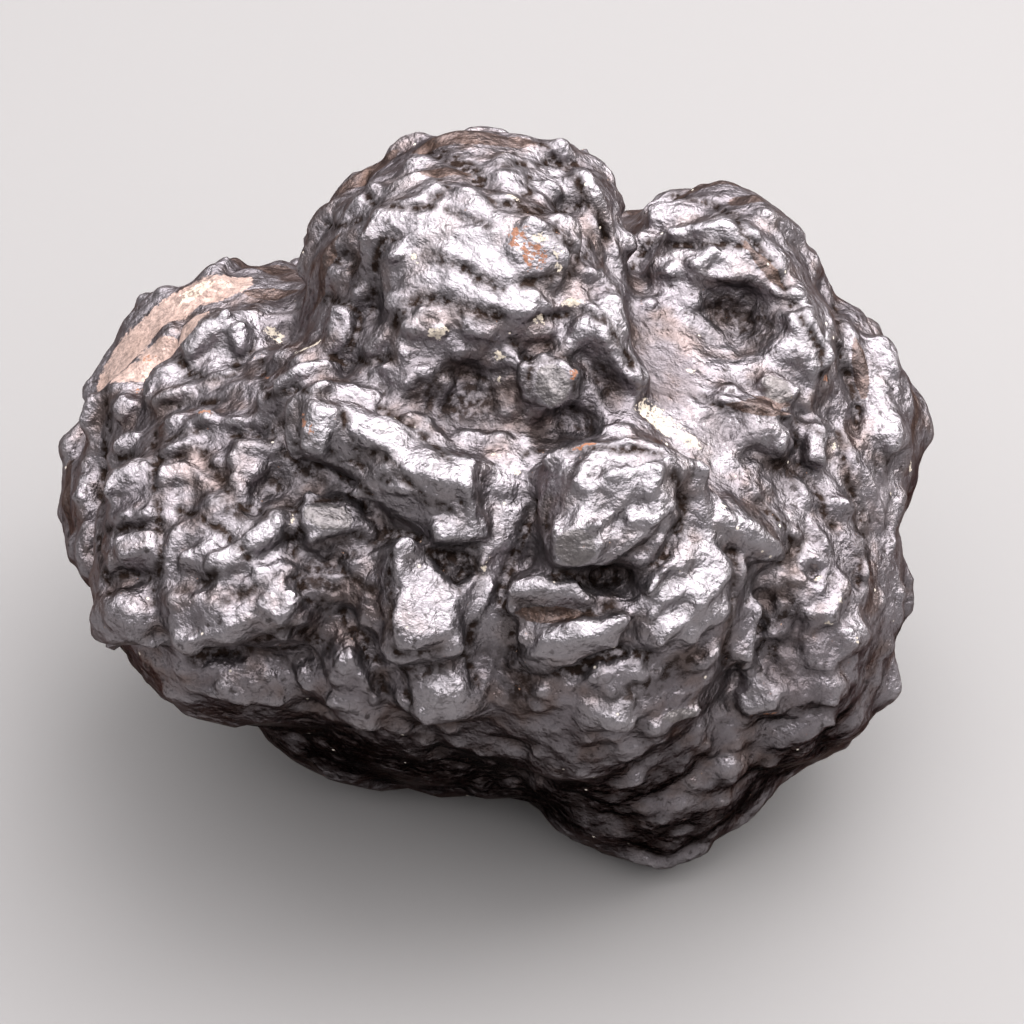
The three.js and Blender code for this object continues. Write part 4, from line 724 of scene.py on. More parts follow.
def makeSkin():
    remesh = {"mode": "VOXEL", "voxel_size": skin["voxel"] * mm, "use_smooth_shade": True}
    melting = {"factor": 0.5, "iterations": skin["melting"]}
    base = withModifiers(crystalSolid(), ("REMESH", remesh), ("SMOOTH", melting))
    print("stage: solid melted", len(base.vertices), "vertices")
    places, normals, edges = placesOf(base), normalsOf(base), edgesOf(base)
    surface = surfaceOf(base)
    broadNormals = averaged(normals, edges, 4)
    broadNormals /= np.linalg.norm(broadNormals, axis=1)[:, None]
    calm = stainShares(places, surface, calmPlaces)
    relief = reliefOf(places, surface, livelinessOf(places, normals, broadNormals, calm))
    setPlaces(base, places + broadNormals * relief[:, None])
    print("stage: lumps and wrinkles raised, from", relief.min().round(2), "to", relief.max().round(2), "mm")

    # swelling keeps ridges round and closes creases to thin lines
    remesh["voxel_size"] = skin["fineVoxel"] * mm
    swelling = {"strength": skin["swelling"] * mm, "mid_level": 0}
    lastMelting = {"factor": 0.5, "iterations": 1}
    swollen = withModifiers(base, ("DISPLACE", swelling), ("REMESH", remesh), ("SMOOTH", lastMelting))
    share = skin["triangles"] / (2 * len(swollen.polygons))
    thinning = {"decimate_type": "COLLAPSE", "ratio": min(share, 1), "vertex_group": "hidden",
                "vertex_group_factor": 1.2}
    hidden = smoothStep(-normalsOf(swollen)[:, 2], 0.2, 0.7) > 0.5
    mesh = withModifiers(swollen, ("TRIANGULATE", {}), ("DECIMATE", thinning), hidden=hidden)
    mesh.shade_smooth()
    print("stage: skin has", len(mesh.polygons), "triangles")
    return mesh


# Stains and crusts, each by its place across and up, its half sizes and its turn in degrees
stains = {
    "tan": [
        ((-19.3, 7.2), (2.6, 2), 50), ((-17, 9.4), (3.8, 1.7), 40), ((-14.4, 10.7), (2.4, 1.1), 20),
        ((-20.2, 5.9), (1.2, 1.2), 0), ((-17.5, 7.2), (1.6, 1.2), 0), ((-18.9, 6.2), (1.6, 1), 0),
        ((-16, 8.6), (1.6, 0.8), 40),
    ],
    "bronze": [
        ((-1, 18.7), (4, 0.9), 5), ((-6.6, 16.6), (2.6, 0.6), 35), ((10.6, 15.9), (3.6, 0.6), 0),
        ((13.6, 15.5), (1.6, 0.9), -20), ((-12, 11.7), (2.8, 0.9), 10), ((16.9, 12.8), (1.4, 0.5), -50),
        ((22.3, 4.5), (0.6, 3), 0), ((21.3, -8), (1, 4), 0), ((-22.5, -0.5), (0.6, 3), 0),
        ((-2.6, 16.8), (1.6, 0.5), 0), ((-11.6, 10.3), (1.8, 0.7), 0), ((7.6, 14.8), (0.7, 1.4), 0),
        ((-9, 11.5), (0.6, 2.6), -10), ((14.4, 12), (2, 0.4), -48), ((14.5, 4.3), (2.6, 0.4), -8),
        ((19.4, 6.4), (0.5, 2), 8), ((3, -6.5), (2, 0.5), 0),
    ],
    "dull": [
        ((4.4, -3), (1.2, 1.1), 0), ((3.2, 5.6), (1, 1.3), 20), ((-8.6, -1.3), (1.5, 0.9), -8),
        ((9.9, -11.8), (1.3, 0.4), 0), ((15, 5.4), (1.1, 0.8), -30),
    ],
    "chalk": [
        ((-15.6, 10.5), (1.5, 0.7), 20), ((-11.5, 8.2), (0.8, 0.5), -50), ((-9.8, 7.5), (0.9, 0.4), -25),
        ((8.7, 3.7), (1.9, 0.9), -30), ((10.3, 2.7), (1, 0.5), -30), ((-2.8, 8.3), (0.7, 0.5), 0),
        ((2.6, 13.3), (0.6, 0.35), 0), ((3.3, 12.6), (0.45, 0.35), 0), ((3.5, 11.9), (0.3, 0.4), 0),
        ((1.1, 15.5), (0.35, 0.3), 0), ((4.2, 9.9), (0.7, 0.3), 0), ((-4.1, 12.3), (0.2, 0.4), 0),
        ((0.4, 7.1), (0.5, 0.3), 0), ((-5.9, 3.4), (0.4, 0.3), 0), ((-0.4, -4), (0.2, 0.5), -20),
        ((-10.5, -1.5), (0.2, 0.3), -20), ((0.3, 5.9), (0.4, 0.2), 20), ((12.2, -0.8), (0.3, 0.2), 0),
        ((0.2, 1.9), (0.35, 0.25), 0), ((1.1, 1.1), (0.45, 0.25), -20), ((10.5, 6.3), (0.3, 0.2), 0),
        # the seven spots from (17.2, -4.6) to (21, -0.3) are cream specks that also stand in for small
        # glints: partly painted highlight
        ((17.2, -4.6), (0.3, 0.25), 0), ((18.4, -5.8), (0.3, 0.25), 0), ((17.6, -6.9), (0.25, 0.3), 0),
        ((19.2, -7.8), (0.3, 0.25), 0), ((18, 2.3), (0.25, 0.4), 0), ((22, 1.2), (0.25, 0.7), 0),
        ((21, -0.3), (0.3, 0.25), 0), ((-18.2, 6.1), (0.35, 0.3), 0), ((2.4, 9.1), (0.4, 0.3), 20),
        ((18.9, -10.6), (0.2, 0.15), 0),
    ],
    "rust": [
        ((1.4, 13.3), (0.7, 1), 20), ((2.2, 12.5), (1, 0.8), 0), ((-9.9, 3.6), (0.35, 0.8), 15),
        ((-18.1, 7), (0.5, 0.35), 0), ((-18.4, 5.3), (0.5, 0.35), 0), ((14.4, -11.7), (0.8, 0.3), 10),
        ((17.6, 6), (0.4, 0.3), 0), ((4.9, 2.5), (1, 0.2), 10), ((-15, 4.2), (0.6, 0.2), 0),
        ((4.3, 6.3), (0.25, 0.7), -10), ((-11.9, 5.9), (0.2, 0.6), 10),
    ],
    "dust": [
        ((9, 6), (2.4, 3.4), -10), ((12.5, 3), (3, 1.6), 0), ((-10.8, 8.6), (2, 1.4), 0),
        ((20.5, -0.5), (1.4, 2.6), 0), ((16.6, -9), (3, 3.5), 0),
    ],
}
# Places with fewer lumps and ripples
calmPlaces = [
    ((-1.5, 12.5), (4.2, 2.6), -15), ((-18.5, 8.2), (3.6, 2), 50), ((21.3, -7), (1, 4), 0),
    ((-11.8, 11.2), (2.2, 1.4), 0), ((2.5, 12.8), (2, 1.8), 0), ((4.4, -3), (1.2, 1.1), 0),
    ((3.1, 5.7), (1, 1.2), 0), ((-8.4, -1.6), (1.5, 1.1), 0), ((0.8, -3), (1, 3), -8),
    ((9, 6), (1.6, 3), 0),
]
# Places with a painted highlight: their tops are painted lighter, with less dirt and painted shade
paintedHighlightPlaces = [
    ((-2.5, 1), (5.5, 3), -25), ((-8, 2), (3, 2.4), -30), ((7, -0.5), (3.5, 3), 0),
    ((11, 13.6), (4, 2.6), 0), ((3.4, 16.6), (3, 2), -20), ((-4.6, 16), (2.6, 1.4), 15),
    ((-15, 7.6), (3, 1.8), 40), ((-4, -3), (3, 1.6), 0), ((10.2, -5.4), (3, 2.4), 40),
    ((4.5, -7.6), (3, 1), 10), ((3.4, -5.2), (2.6, 0.8), 0), ((17, 8.6), (2, 3.4), 20),
    ((12.6, 3), (3, 1.3), 20), ((0.6, -1.6), (1.8, 2), 0), ((-1.2, 12.4), (5, 3.4), -18),
    ((5.4, 9), (2, 1.4), 30), ((-5.4, 3), (4, 1.6), -28), ((13.2, -2.2), (3, 0.8), -8),
    ((6.2, -11.8), (1.6, 0.8), 0), ((1.4, -7), (3, 1.8), 0), ((-1.2, -5.6), (2.4, 2.4), 0),
    ((-12.4, -3), (3.4, 1.4), 35), ((7.8, 12.6), (1.6, 2.4), 0), ((14, -10.8), (1.6, 1.2), 0),
    ((-2.6, -10.6), (1.6, 1.4), 0),
]
# Places rubbed smooth before the lumps are raised
rubbedPlaces = [
    ((-1.3, 12), (5, 3.2), -18), ((20.6, -8), (1.6, 4), 0), ((21, -11.5), (1.6, 2), 0),
    ((-18, 8.6), (3.6, 1.6), 45), ((22.3, 3.4), (1, 2.2), 0), ((9.6, 5.6), (2.2, 3), 0),
    ((12, 15.8), (3.6, 0.8), 0), ((-1, 18.2), (3.4, 1), 0), ((-4.3, 16.3), (1.8, 1), 15),
    ((2.8, 16.7), (1.6, 1.3), -15),
]
# Hollows smoothed a little
softenedPlaces = [
    ((12.8, 9.2), (3.2, 2.8), 0), ((-0.8, 4.2), (3.2, 2.4), 0), ((4.4, 3.5), (2, 1.6), 0),
    ((-1.8, -4.2), (2, 2), 0), ((5.4, -4.8), (2, 1), 0), ((15.4, -8), (1.6, 3), 0),
    ((-0.5, 8.4), (4, 1.2), 0),
]
# Places painted dark: painted shade in the hollows and between crystals
paintedShadePlaces = [
    ((-1.8, 5.2), (3.6, 2.1), 0), ((12.2, 9.6), (2, 1.2), 10), ((13.9, 8.6), (1.5, 1.8), 20),
    ((5.2, -4.8), (2.8, 0.9), -5), ((-11.2, 0.4), (0.9, 0.9), 0), ((-1.6, -3.8), (1.3, 2), 15),
    ((4.4, 3.6), (1.8, 1), -25), ((-3.8, -9.4), (2, 0.7), 20), ((15, -7.5), (1.6, 3.6), 0),
    ((1.5, -9.6), (1.2, 2.6), 10), ((-8.6, -3.8), (2.2, 0.7), 20), ((-10.4, 1.6), (3, 0.6), -35),
    ((6, 5.8), (0.8, 1.6), 20), ((15.2, 1.2), (2, 0.8), -20), ((9, -9.6), (4, 0.9), 15),
    ((19.6, -3), (0.8, 3), 0), ((5, 12.4), (0.5, 1.7), -10), ((-7.2, 11.5), (0.5, 3.4), 5),
    ((-19.6, -4.4), (1.8, 0.5), 0), ((-6, -2.4), (0.8, 1.6), 30), ((20.6, 1.4), (1, 0.9), 0),
    ((-10.6, -1.4), (0.7, 2.2), 0), ((-14.2, -0.6), (2.4, 0.5), -35), ((-18, -1.9), (2, 0.4), 0),
    ((-15.2, -4.9), (2.6, 0.4), 10), ((-16.5, 2.9), (2, 0.4), 5), ((-8.8, -4.6), (1.3, 1.6), 30),
    ((-12.8, -5.2), (2.2, 0.4), 25), ((-11.5, -8.3), (3.4, 0.5), 8), ((-18.3, -4.3), (1.6, 0.4), 0),
    ((-17.6, 1.6), (0.4, 2.4), 0), ((-12.6, 6.2), (0.5, 1.2), 0),
]
# Places with stronger wrinkles
wormyPlaces = [
    ((7, -0.5), (3.2, 2.6), 30), ((9.6, -6.4), (2.6, 2.2), 40), ((4, -7.8), (3, 1.4), 10),
    ((-1.5, 13), (4, 2.6), -20), ((14.6, 2.6), (3, 2), 0), ((5, 8.6), (1.8, 1.2), 30),
    ((-14.5, -3.8), (3.6, 2.6), 30), ((5.8, 14), (1.6, 3), 0), ((-12, -6.2), (3, 1.6), 20),
    ((10.5, 12.5), (3, 2), 0), ((18.6, 1.5), (1.2, 4), 0), ((-3.5, -5.5), (1.4, 2.6), 0),
]
# Places with stronger small lumps
beadyPlaces = [
    ((7, -14), (6, 3.6), 0), ((-3, -12.6), (5, 2), 0), ((-12, -10), (5, 1.6), -15), ((20, -11), (2, 3), 0),
    ((16.4, -8.5), (3, 4), 0), ((-3.4, 8.6), (1.8, 1), 0), ((-2, 5.2), (2.4, 2), 0),
    ((-10.5, 9.2), (1.6, 1.2), 0), ((12.5, 9.5), (2.4, 2), 0), ((-16, 4.5), (2.5, 1), 0),
    ((7, -9.5), (4, 1.6), 0), ((12, -12), (3, 2), 0),
]


# Only the marked places move, each round towards the average of their neighbours
def rubbedFlat(places, edges, shares, rounds):
    near = edges[(shares[edges] > 0.02).any(1)]
    numbers, flat = np.unique(near, return_inverse=True)
    part = places[numbers]
    share = shares[numbers][:, None]
    for _ in range(rounds):
        part += (averaged(part, flat.reshape(-1, 2)) - part) * share
    places[numbers] = part


seamForm = {
    "spacing": 0.15,  # mm between spots along it
    "waviness": 0.18,  # mm
    "reach": 1.5,  # how far past its half width it fades
    "deepening": 1.3,
    # how fast the seams' painted dark, partly shade, grows towards their middle
    "darkening": 1.6,
}


# Spots close together along a seam, a little wavy
def seamSpots(surface, line):
    for (across, up), (nextAcross, nextUp) in zip(line, line[1:]):
        steps = max(int(math.hypot(nextAcross - across, nextUp - up) / seamForm["spacing"]), 1)
        for i in range(steps):
            spot = Vector((across + (nextAcross - across) * i / steps, up + (nextUp - up) * i / steps, 0))
            wobble = noise.noise_vector(spot) * seamForm["waviness"]
            place, _ = seenAt(surface, spot.x + wobble.x, spot.y + wobble.y)
            if place is not None:
                yield place / mm


# Depth of the seams at each vertex, and how dark they are painted there: partly brown, partly painted shade
def seamShares(places, surface):
    rows = [(place, half, depth) for line, half, depth in seams for place in seamSpots(surface, line)]
    nearby = treeOf([place for place, _, _ in rows])
    depths, darkness = np.zeros(len(places)), np.zeros(len(places))
    for i, place in enumerate(map(Vector, places)):
        _, which, distance = nearby.find(place)
        _, half, depth = rows[which]
        near = 1 - distance / (half * seamForm["reach"])
        if near > 0:
            depths[i] = depth * near * near * (3 - 2 * near) * seamForm["deepening"]
            darkness[i] = min(near * seamForm["darkening"], 1)
    return depths, darkness


# 1 inside the spots, falling to 0 round them
def stainShares(places, surface, spots):
    shares = np.zeros(len(places))
    for (across, up), (wide, tall), degrees in spots:
        place, normal = seenAt(surface, across, up)
        if place is None:
            continue
        along = alongSurface(seenDirection(math.radians(degrees)), normal)
        offset = places - np.array(place / mm)
        axes = np.array([along / wide, normal.cross(along) / tall, normal / max(wide, tall)])
        reach = np.linalg.norm(offset @ axes.T, axis=1)
        shares = np.maximum(shares, 1 - smoothStep(reach, 0.45, 1.3))
    return shares


marks = {  # how many mm under or over its surroundings a mark starts, and where it is full
    "crease": (0.01, 0.1),
    "edge": (0.01, 0.09),
    "hollow": (0, 0.5),
    "low": (0, 0.6),
    "high": (0.15, 0.8),
    "darkSpots": 0.8,
    "darkSeams": 0.85,
}


# How far each vertex lies under the average of its surroundings, in mm
def sunkenness(places, normals, edges, rounds):
    return ((averaged(places, edges, rounds) - places) * normals).sum(1)


def addAttributes(mesh):
    places, normals, edges = placesOf(mesh), normalsOf(mesh), edgesOf(mesh)
    surface = surfaceOf(mesh)
    bend = sunkenness(places, normals, edges, 2)
    broad = sunkenness(places, normals, edges, 14)
    widest = sunkenness(places, averaged(normals, edges, 12), edges, 90)
    facingDown = smoothStep(-averaged(normals, edges, 6)[:, 2], -0.35, 0.25)
    values = {
        "crease": averaged(smoothStep(bend, *marks["crease"]), edges),
        "edge": averaged(smoothStep(-bend, *marks["edge"]), edges),
        "hollow": averaged(smoothStep(broad, *marks["hollow"]), edges, 2),
        "low": smoothStep(widest, *marks["low"]),
        "high": smoothStep(-widest, *marks["high"]),
        # painted shade where the stone faces down, low on the stone
        "under": facingDown * smoothStep(-places[:, 2], -22, -9),
    }
    # the listed dark places are painted shade, the polished places a painted highlight
    markedPlaces = {**stains, "calm": calmPlaces, "dark": paintedShadePlaces, "paintedHighlight": paintedHighlightPlaces}
    for name, spots in markedPlaces.items():
        values[name] = stainShares(places, surface, spots)
    # the seams' painted dark, partly shade, joins the painted shade of the listed dark places
    _, darkness = seamShares(places, surface)
    values["dark"] = np.maximum(values["dark"] * marks["darkSpots"], darkness * marks["darkSeams"])
    for name, shares in values.items():
        attribute = mesh.attributes.new(name, "FLOAT", "POINT")
        attribute.data.foreach_set("value", shares.astype(np.float32))
    print("stage: stains and creases marked")


def addNode(tree, kind, inputs=None, **settings):
    made = tree.nodes.new("ShaderNode" + kind)
    for name, value in settings.items():
        setattr(made, name, value)
    for name, value in (inputs or {}).items():
        if isinstance(value, bpy.types.NodeSocket):
            tree.links.new(value, made.inputs[name])
        else:
            made.inputs[name].default_value = value
    return made


def asColour(value):
    return (*value, 1) if isinstance(value, tuple) else value


def mixedColour(tree, share, low, high):
    inputs = {0: share, 6: asColour(low), 7: asColour(high)}
    return addNode(tree, "Mix", inputs, data_type="RGBA").outputs[2]


def mixedNumber(tree, share, low, high):
    return addNode(tree, "Mix", {0: share, 2: low, 3: high}, data_type="FLOAT").outputs[0]


def worked(tree, operation, *values):
    return addNode(tree, "Math", dict(enumerate(values)), operation=operation).outputs[0]


def ramped(tree, value, low, high, toLow=0, toHigh=1):
    inputs = {0: value, 1: low, 2: high, 3: toLow, 4: toHigh}
    return addNode(tree, "MapRange", inputs, interpolation_type="SMOOTHSTEP").outputs[0]


def marked(tree, name):
    return addNode(tree, "Attribute", attribute_name=name).outputs["Fac"]


def timesOf(tree, *values):
    product = values[0]
    for value in values[1:]:
        product = worked(tree, "MULTIPLY", product, value)
    return product


def vectorWorked(tree, operation, output, **values):
    names = {"first": 0, "second": 1, "third": 2, "scale": "Scale"}
    inputs = {names[name]: value for name, value in values.items()}
    return addNode(tree, "VectorMath", inputs, operation=operation).outputs[output]


grain = {  # noises: how many to the millimetre, detail, roughness and distortion
    "fine": (2.2, 3, 0.6, 0),
    "patches": (0.28, 2, 0.5, 0),
    "speckle": (6, 2, 0.6, 0),
    "brown": (0.5, 2, 0.55, 0),
    "ripples": (2, 3, 0.55, 0),
    "swells": (1.1, 1, 0.4, 0),
    "satin": (3.6, 2, 0.6, 0),
    "lively": (0.33, 2, 0.55, 0),
    "veins": (0.8, 2, 0.5, 1),
    "veinBreaks": (0.7, 1, 0.55, 0),
}


def noiseTexture(tree, place, name):
    scale, detail, roughness, distortion = grain[name]
    inputs = {"Vector": place, "Scale": scale, "Detail": detail, "Roughness": roughness,
              "Distortion": distortion}
    return addNode(tree, "TexNoise", inputs).outputs["Fac"]


# Height of small crystals side by side, each with a face of its own tilt
def crystalTexture(tree, place, scale, tilt, roundness):
    cells = addNode(tree, "TexVoronoi", {"Vector": place, "Scale": scale})
    scaled = vectorWorked(tree, "SCALE", 0, first=place, scale=scale)
    spot = vectorWorked(tree, "SCALE", 0, first=cells.outputs["Position"], scale=scale)
    offset = vectorWorked(tree, "SUBTRACT", 0, first=scaled, second=spot)
    lean = vectorWorked(tree, "SUBTRACT", 0, first=cells.outputs["Color"], second=(0.5,) * 3)
    face = vectorWorked(tree, "DOT_PRODUCT", "Value", first=offset, second=lean)
    shoulder = ramped(tree, cells.outputs["Distance"], 0.2, 0.2 + roundness, 1, 0)
    return worked(tree, "MULTIPLY_ADD", face, tilt, shoulder)


# Places pushed about, so that cells don't end in straight lines
def warped(tree, place, scale, reach):
    push = addNode(tree, "TexNoise", {"Vector": place, "Scale": scale, "Detail": 1}).outputs["Color"]
    centred = vectorWorked(tree, "SUBTRACT", 0, first=push, second=(0.5,) * 3)
    return vectorWorked(tree, "MULTIPLY_ADD", 0, first=centred, second=(reach,) * 3, third=place)


oxide = {
    "bright": (0.29, 0.268, 0.283),  # reflection of polished faces
    "deep": (0.21, 0.19, 0.202),
    "worn": (0.34, 0.321, 0.336),  # of rubbed edges and high places, and of the painted highlight
    "highWearAndHighlight": 0.5,  # how much of it high places, from wear, and the painted-highlight places have
    "brown": (0.17, 0.125, 0.11),
    "brownCover": 0.75,
    # colour of the dirt and of the painted shade
    "dirtAndShadeColour": (0.024, 0.016, 0.013),
    # painted shade of the underside
    "underShadeColour": (0.027, 0.021, 0.0205),
    "edgeTint": (0.24, 0.175, 0.15),  # reflection at a glancing angle
    "polish": 0.31,  # roughness of ridges
    "dull": 0.47,
    "creaseRoughness": 0.55,
    "creaseMetallic": 0.85,
    "underRoughness": 0.28,
    "underEdges": 0.4,  # how much edges, high places and ripples are spared the painted shade there
    "underHigh": 0.35,
    "underRipples": 0.25,
    "hollowShade": 0.7,  # painted shade: how dark broad hollows and low places are
    "lowShade": 0.6,
    "dipDarkening": 0.7,
    "veinDirt": 0.5,
    "grains": (0.95, 1.8, 0.6),  # crystals to the millimetre, how tilted, how round
    "grainWarp": (1.1, 0.9),  # bends to the millimetre, and how far they reach
    "grainHeight": 0.07,  # mm
    "swellHeight": 0.07,
    "rippleHeight": 0.14,
    "satinHeight": 0.08,  # of the finest ripples
}
gritAndGlints = {  # white grains, which also serve as painted glints: colour, spots to the mm, size of each, and which of the spots have one
    "colour": (0.75, 0.68, 0.58),
    "scale": 0.75,
    "size": (0.045, 0.08),
    "share": (0.6, 0.62),
}


crusts = [  # name, colour, how much it covers, how full and how ragged it is, roughness, how metallic
    ("bronze", (0.13, 0.088, 0.072), 0.8, 1, 0.8, 0.42, 0.9),
    ("dull", (0.2, 0.185, 0.178), 0.75, 1, 0.8, 0.45, 0.8),
    ("dust", (0.18, 0.158, 0.166), 0.6, 0.75, 2, 0.48, 0.5),
    ("tan", (0.64, 0.46, 0.385), 0.8, 1, 1.4, 0.48, 0.2),
    ("rust", (0.31, 0.125, 0.055), 0.8, 0.62, 3, 0.65, 0),
    ("chalk", (0.72, 0.64, 0.52), 0.9, 0.75, 2.6, 0.8, 0),
]


# Dirt and painted shade in creases, painted shade in hollows, low places and the listed dark places; least on
# painted-highlight places and edges
def dirtAndShadeShare(tree, fine, ripples):
    sparedByHighlight = ramped(tree, marked(tree, "paintedHighlight"), 0, 1, 1, 0.35)
    share = timesOf(tree, marked(tree, "crease"), ramped(tree, fine, 0.3, 0.6, 0.5, 1))
    share = worked(tree, "MAXIMUM", share, timesOf(tree, marked(tree, "hollow"), oxide["hollowShade"]))
    share = worked(tree, "MAXIMUM", share, timesOf(tree, marked(tree, "low"), oxide["lowShade"]))
    share = worked(tree, "MAXIMUM", timesOf(tree, share, sparedByHighlight), marked(tree, "dark"))
    share = timesOf(tree, share, ramped(tree, ripples, 0.4, 0.62, 1.2, 0.5))
    return timesOf(tree, share, ramped(tree, marked(tree, "edge"), 0, 0.8, 1, 0.3))


# Thin dark veins, where a noise crosses its middle
def veinShare(tree, place, liveliness):
    offMiddle = worked(tree, "SUBTRACT", noiseTexture(tree, place, "veins"), 0.5)
    offMiddle = worked(tree, "ABSOLUTE", offMiddle)
    broken = ramped(tree, noiseTexture(tree, place, "veinBreaks"), 0.5, 0.62)
    return timesOf(tree, ramped(tree, offMiddle, 0.004, 0.03, 1, 0), broken, liveliness)


# Crusts with ragged edges, over what is under them
def addCrusts(tree, fine, speckle, colour, roughness, metal):
    breakup = mixedNumber(tree, 0.4, fine, speckle)
    mottling = ramped(tree, breakup, 0.35, 0.6)
    for name, crust, cover, fullness, ragged, rough, metallic in crusts:
        share = timesOf(tree, marked(tree, name), fullness)
        share = worked(tree, "MULTIPLY_ADD", breakup, ragged, share)
        share = timesOf(tree, ramped(tree, share, 0.5 + ragged / 2, 0.68 + ragged / 2), cover)
        darker = tuple(level / 2 for level in crust)
        tone = mixedColour(tree, mottling, darker, crust)
        colour = mixedColour(tree, share, colour, tone)
        roughness = mixedNumber(tree, share, roughness, rough)
        metal = mixedNumber(tree, share, metal, metallic)
    return colour, roughness, metal


# Relief too fine for the mesh, in mm
def fineRelief(tree, place, ripples, liveliness):
    bent = warped(tree, place, *oxide["grainWarp"])
    relief = timesOf(tree, crystalTexture(tree, bent, *oxide["grains"]), oxide["grainHeight"], liveliness)
    swells, satin = noiseTexture(tree, place, "swells"), noiseTexture(tree, place, "satin")
    for height, share in (
        (swells, oxide["swellHeight"]), (ripples, oxide["rippleHeight"]), (satin, oxide["satinHeight"])
    ):
        relief = worked(tree, "MULTIPLY_ADD", height, share, relief)
    return relief


def oxideMaterial():
    material = bpy.data.materials.new("wornIronOxide")
    material.use_nodes = True
    tree = material.node_tree
    tree.nodes.clear()
    out = addNode(tree, "OutputMaterial")
    shader = addNode(tree, "BsdfPrincipled", {"Specular Tint": asColour(oxide["edgeTint"])})
    tree.links.new(shader.outputs[0], out.inputs[0])
    objectPlace = addNode(tree, "TexCoord").outputs["Object"]
    place = addNode(tree, "Mapping", {"Vector": objectPlace, "Scale": (1 / mm,) * 3}).outputs[0]
    edge, high, paintedHighlight = marked(tree, "edge"), marked(tree, "high"), marked(tree, "paintedHighlight")
    fine, ripples = noiseTexture(tree, place, "fine"), noiseTexture(tree, place, "ripples")
    liveliness = timesOf(tree, ramped(tree, marked(tree, "calm"), 0, 0.8, 1, 0.25),
                         ramped(tree, noiseTexture(tree, place, "lively"), 0.35, 0.6, 0.4, 1.1))

    # bare oxide, lighter where worn, and with a painted highlight on the listed places
    patches = ramped(tree, noiseTexture(tree, place, "patches"), 0.35, 0.65)
    colour = mixedColour(tree, patches, oxide["deep"], oxide["bright"])
    brown = ramped(tree, noiseTexture(tree, place, "brown"), 0.45, 0.7)
    colour = mixedColour(tree, timesOf(tree, brown, oxide["brownCover"]), colour, oxide["brown"])
    worn = timesOf(tree, worked(tree, "ADD", high, paintedHighlight), oxide["highWearAndHighlight"])
    colour = mixedColour(tree, worn, colour, oxide["worn"])
    rubbed = timesOf(tree, edge, ramped(tree, fine, 0.3, 0.6, 0.3, 0.8))
    colour = mixedColour(tree, rubbed, colour, oxide["worn"])

    # dirt, dark veins and painted shade, with darker ripple dips
    dirtAndShade = dirtAndShadeShare(tree, fine, ripples)
    dirtAndShade = worked(tree, "MAXIMUM", dirtAndShade, timesOf(tree, veinShare(tree, place, liveliness), oxide["veinDirt"]))
    dips = ramped(tree, ripples, 0.3, 0.42, oxide["dipDarkening"], 0)
    dirtAndShade = worked(tree, "MAXIMUM", dirtAndShade, timesOf(tree, dips, ramped(tree, paintedHighlight, 0, 1, 1, 0.5)))
    dirtAndShade = worked(tree, "MINIMUM", dirtAndShade, 1)
    colour = mixedColour(tree, dirtAndShade, colour, oxide["dirtAndShadeColour"])
    roughness = mixedNumber(tree, ramped(tree, fine, 0.35, 0.65), oxide["polish"], oxide["dull"])
    roughness = mixedNumber(tree, dirtAndShade, roughness, oxide["creaseRoughness"])
    metal = mixedNumber(tree, dirtAndShade, 1.0, oxide["creaseMetallic"])

    # painted shade on the underside, less on edges and high places
    under = marked(tree, "under")
    shade = worked(tree, "SUBTRACT", 1, timesOf(tree, edge, oxide["underEdges"]))
    shade = worked(tree, "SUBTRACT", shade, timesOf(tree, high, oxide["underHigh"]))
    shade = worked(tree, "SUBTRACT", shade, ramped(tree, ripples, 0.5, 0.66, 0, oxide["underRipples"]))
    colour = mixedColour(tree, timesOf(tree, under, shade), colour, oxide["underShadeColour"])
    roughness = mixedNumber(tree, under, roughness, oxide["underRoughness"])

    speckle = noiseTexture(tree, place, "speckle")
    colour, roughness, metal = addCrusts(tree, fine, speckle, colour, roughness, metal)

    # a few white grains stuck in the skin, partly painted glints
    grains = addNode(tree, "TexVoronoi", {"Vector": place, "Scale": gritAndGlints["scale"]})
    gritAndGlintShare = timesOf(tree, ramped(tree, grains.outputs["Distance"], *gritAndGlints["size"], 1, 0),
                        ramped(tree, grains.outputs["Color"], *gritAndGlints["share"]))
    colour = mixedColour(tree, gritAndGlintShare, colour, gritAndGlints["colour"])
    metal = mixedNumber(tree, gritAndGlintShare, metal, 0)

    relief = fineRelief(tree, place, ripples, liveliness)
    bump = addNode(tree, "Bump", {"Height": relief, "Distance": mm, "Strength": 1.0})
    for name, value in (
        ("Base Color", colour), ("Roughness", roughness), ("Metallic", metal), ("Normal", bump.outputs[0])
    ):
        tree.links.new(value, shader.inputs[name])
    return material


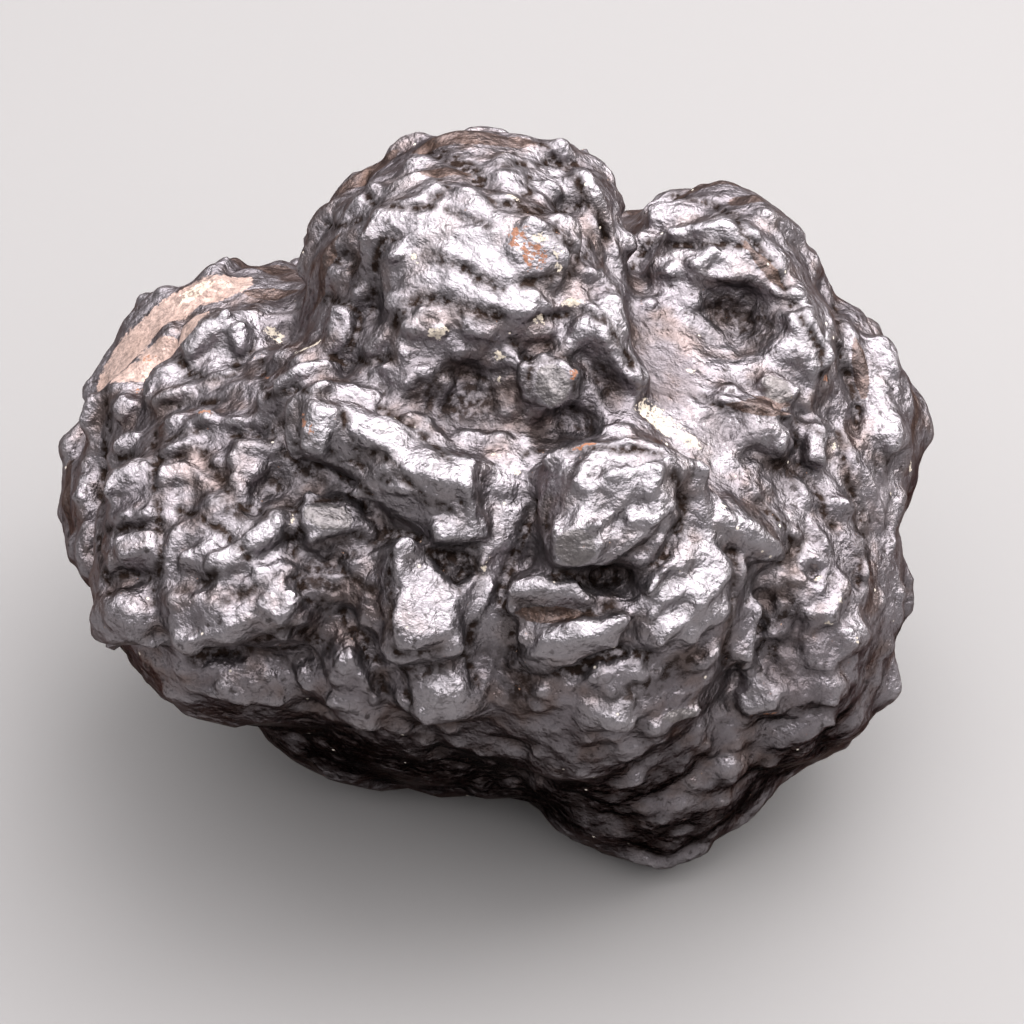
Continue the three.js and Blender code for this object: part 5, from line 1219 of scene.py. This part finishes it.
studio = {
    "floorColour": (0.26, 0.254, 0.248),
    "floorRoughness": 0.9,
    "floorHalf": 2,  # m
    "worldColour": (1, 0.965, 0.985),
    "worldStrength": 0.29,
    "boxes": [  # name, place in mm, size in mm, power in W, colour
        ("sky", (40, -10, 370), (900, 860), 6, (1, 0.975, 1)),
        ("lantern", (60, 60, 260), (240, 220), 0.7, (1, 0.975, 1)),
        ("left", (-270, 20, 160), (120, 120), 0.06, (1, 0.98, 1)),
        ("right", (260, 60, 150), (120, 160), 0.3, (1, 0.98, 0.97)),
        ("rear", (30, 430, 265), (860, 180), 0.8, (1, 0.975, 1)),
    ],
}


def makeStudio():
    bm = bmesh.new()
    bmesh.ops.create_grid(bm, x_segments=1, y_segments=1, size=studio["floorHalf"])
    floorMesh = meshFrom(bm, "floor")
    floor = bpy.data.objects.new("floor", floorMesh)
    material = bpy.data.materials.new("paleFloor")
    material.use_nodes = True
    shader = material.node_tree.nodes["Principled BSDF"]
    shader.inputs["Base Color"].default_value = asColour(studio["floorColour"])
    shader.inputs["Roughness"].default_value = studio["floorRoughness"]
    floorMesh.materials.append(material)
    bpy.context.scene.collection.objects.link(floor)
    for name, place, (wide, tall), power, colour in studio["boxes"]:
        data = bpy.data.lights.new(name, "AREA")
        data.shape = "RECTANGLE"
        data.size, data.size_y = wide * mm, tall * mm
        data.energy = power
        data.color = colour
        lamp = bpy.data.objects.new(name, data)
        lamp.location = Vector(place) * mm
        lamp.rotation_euler = (lamp.location - middle).to_track_quat("Z", "Y").to_euler()
        bpy.context.scene.collection.objects.link(lamp)
    world = bpy.data.worlds.new("softRoom")
    world.use_nodes = True
    background = world.node_tree.nodes["Background"]
    background.inputs["Color"].default_value = asColour(studio["worldColour"])
    background.inputs["Strength"].default_value = studio["worldStrength"]
    bpy.context.scene.world = world
    bpy.context.scene.view_settings.view_transform = "Standard"


makeCamera()
makeStudio()
noise.seed_set(7)
stoneMesh = makeSkin()
addAttributes(stoneMesh)
stoneMesh.materials.clear()
stoneMesh.materials.append(oxideMaterial())
stone = bpy.data.objects.new("stoneSkin", stoneMesh)
bpy.context.scene.collection.objects.link(stone)
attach(stone, "root")
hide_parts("stone")
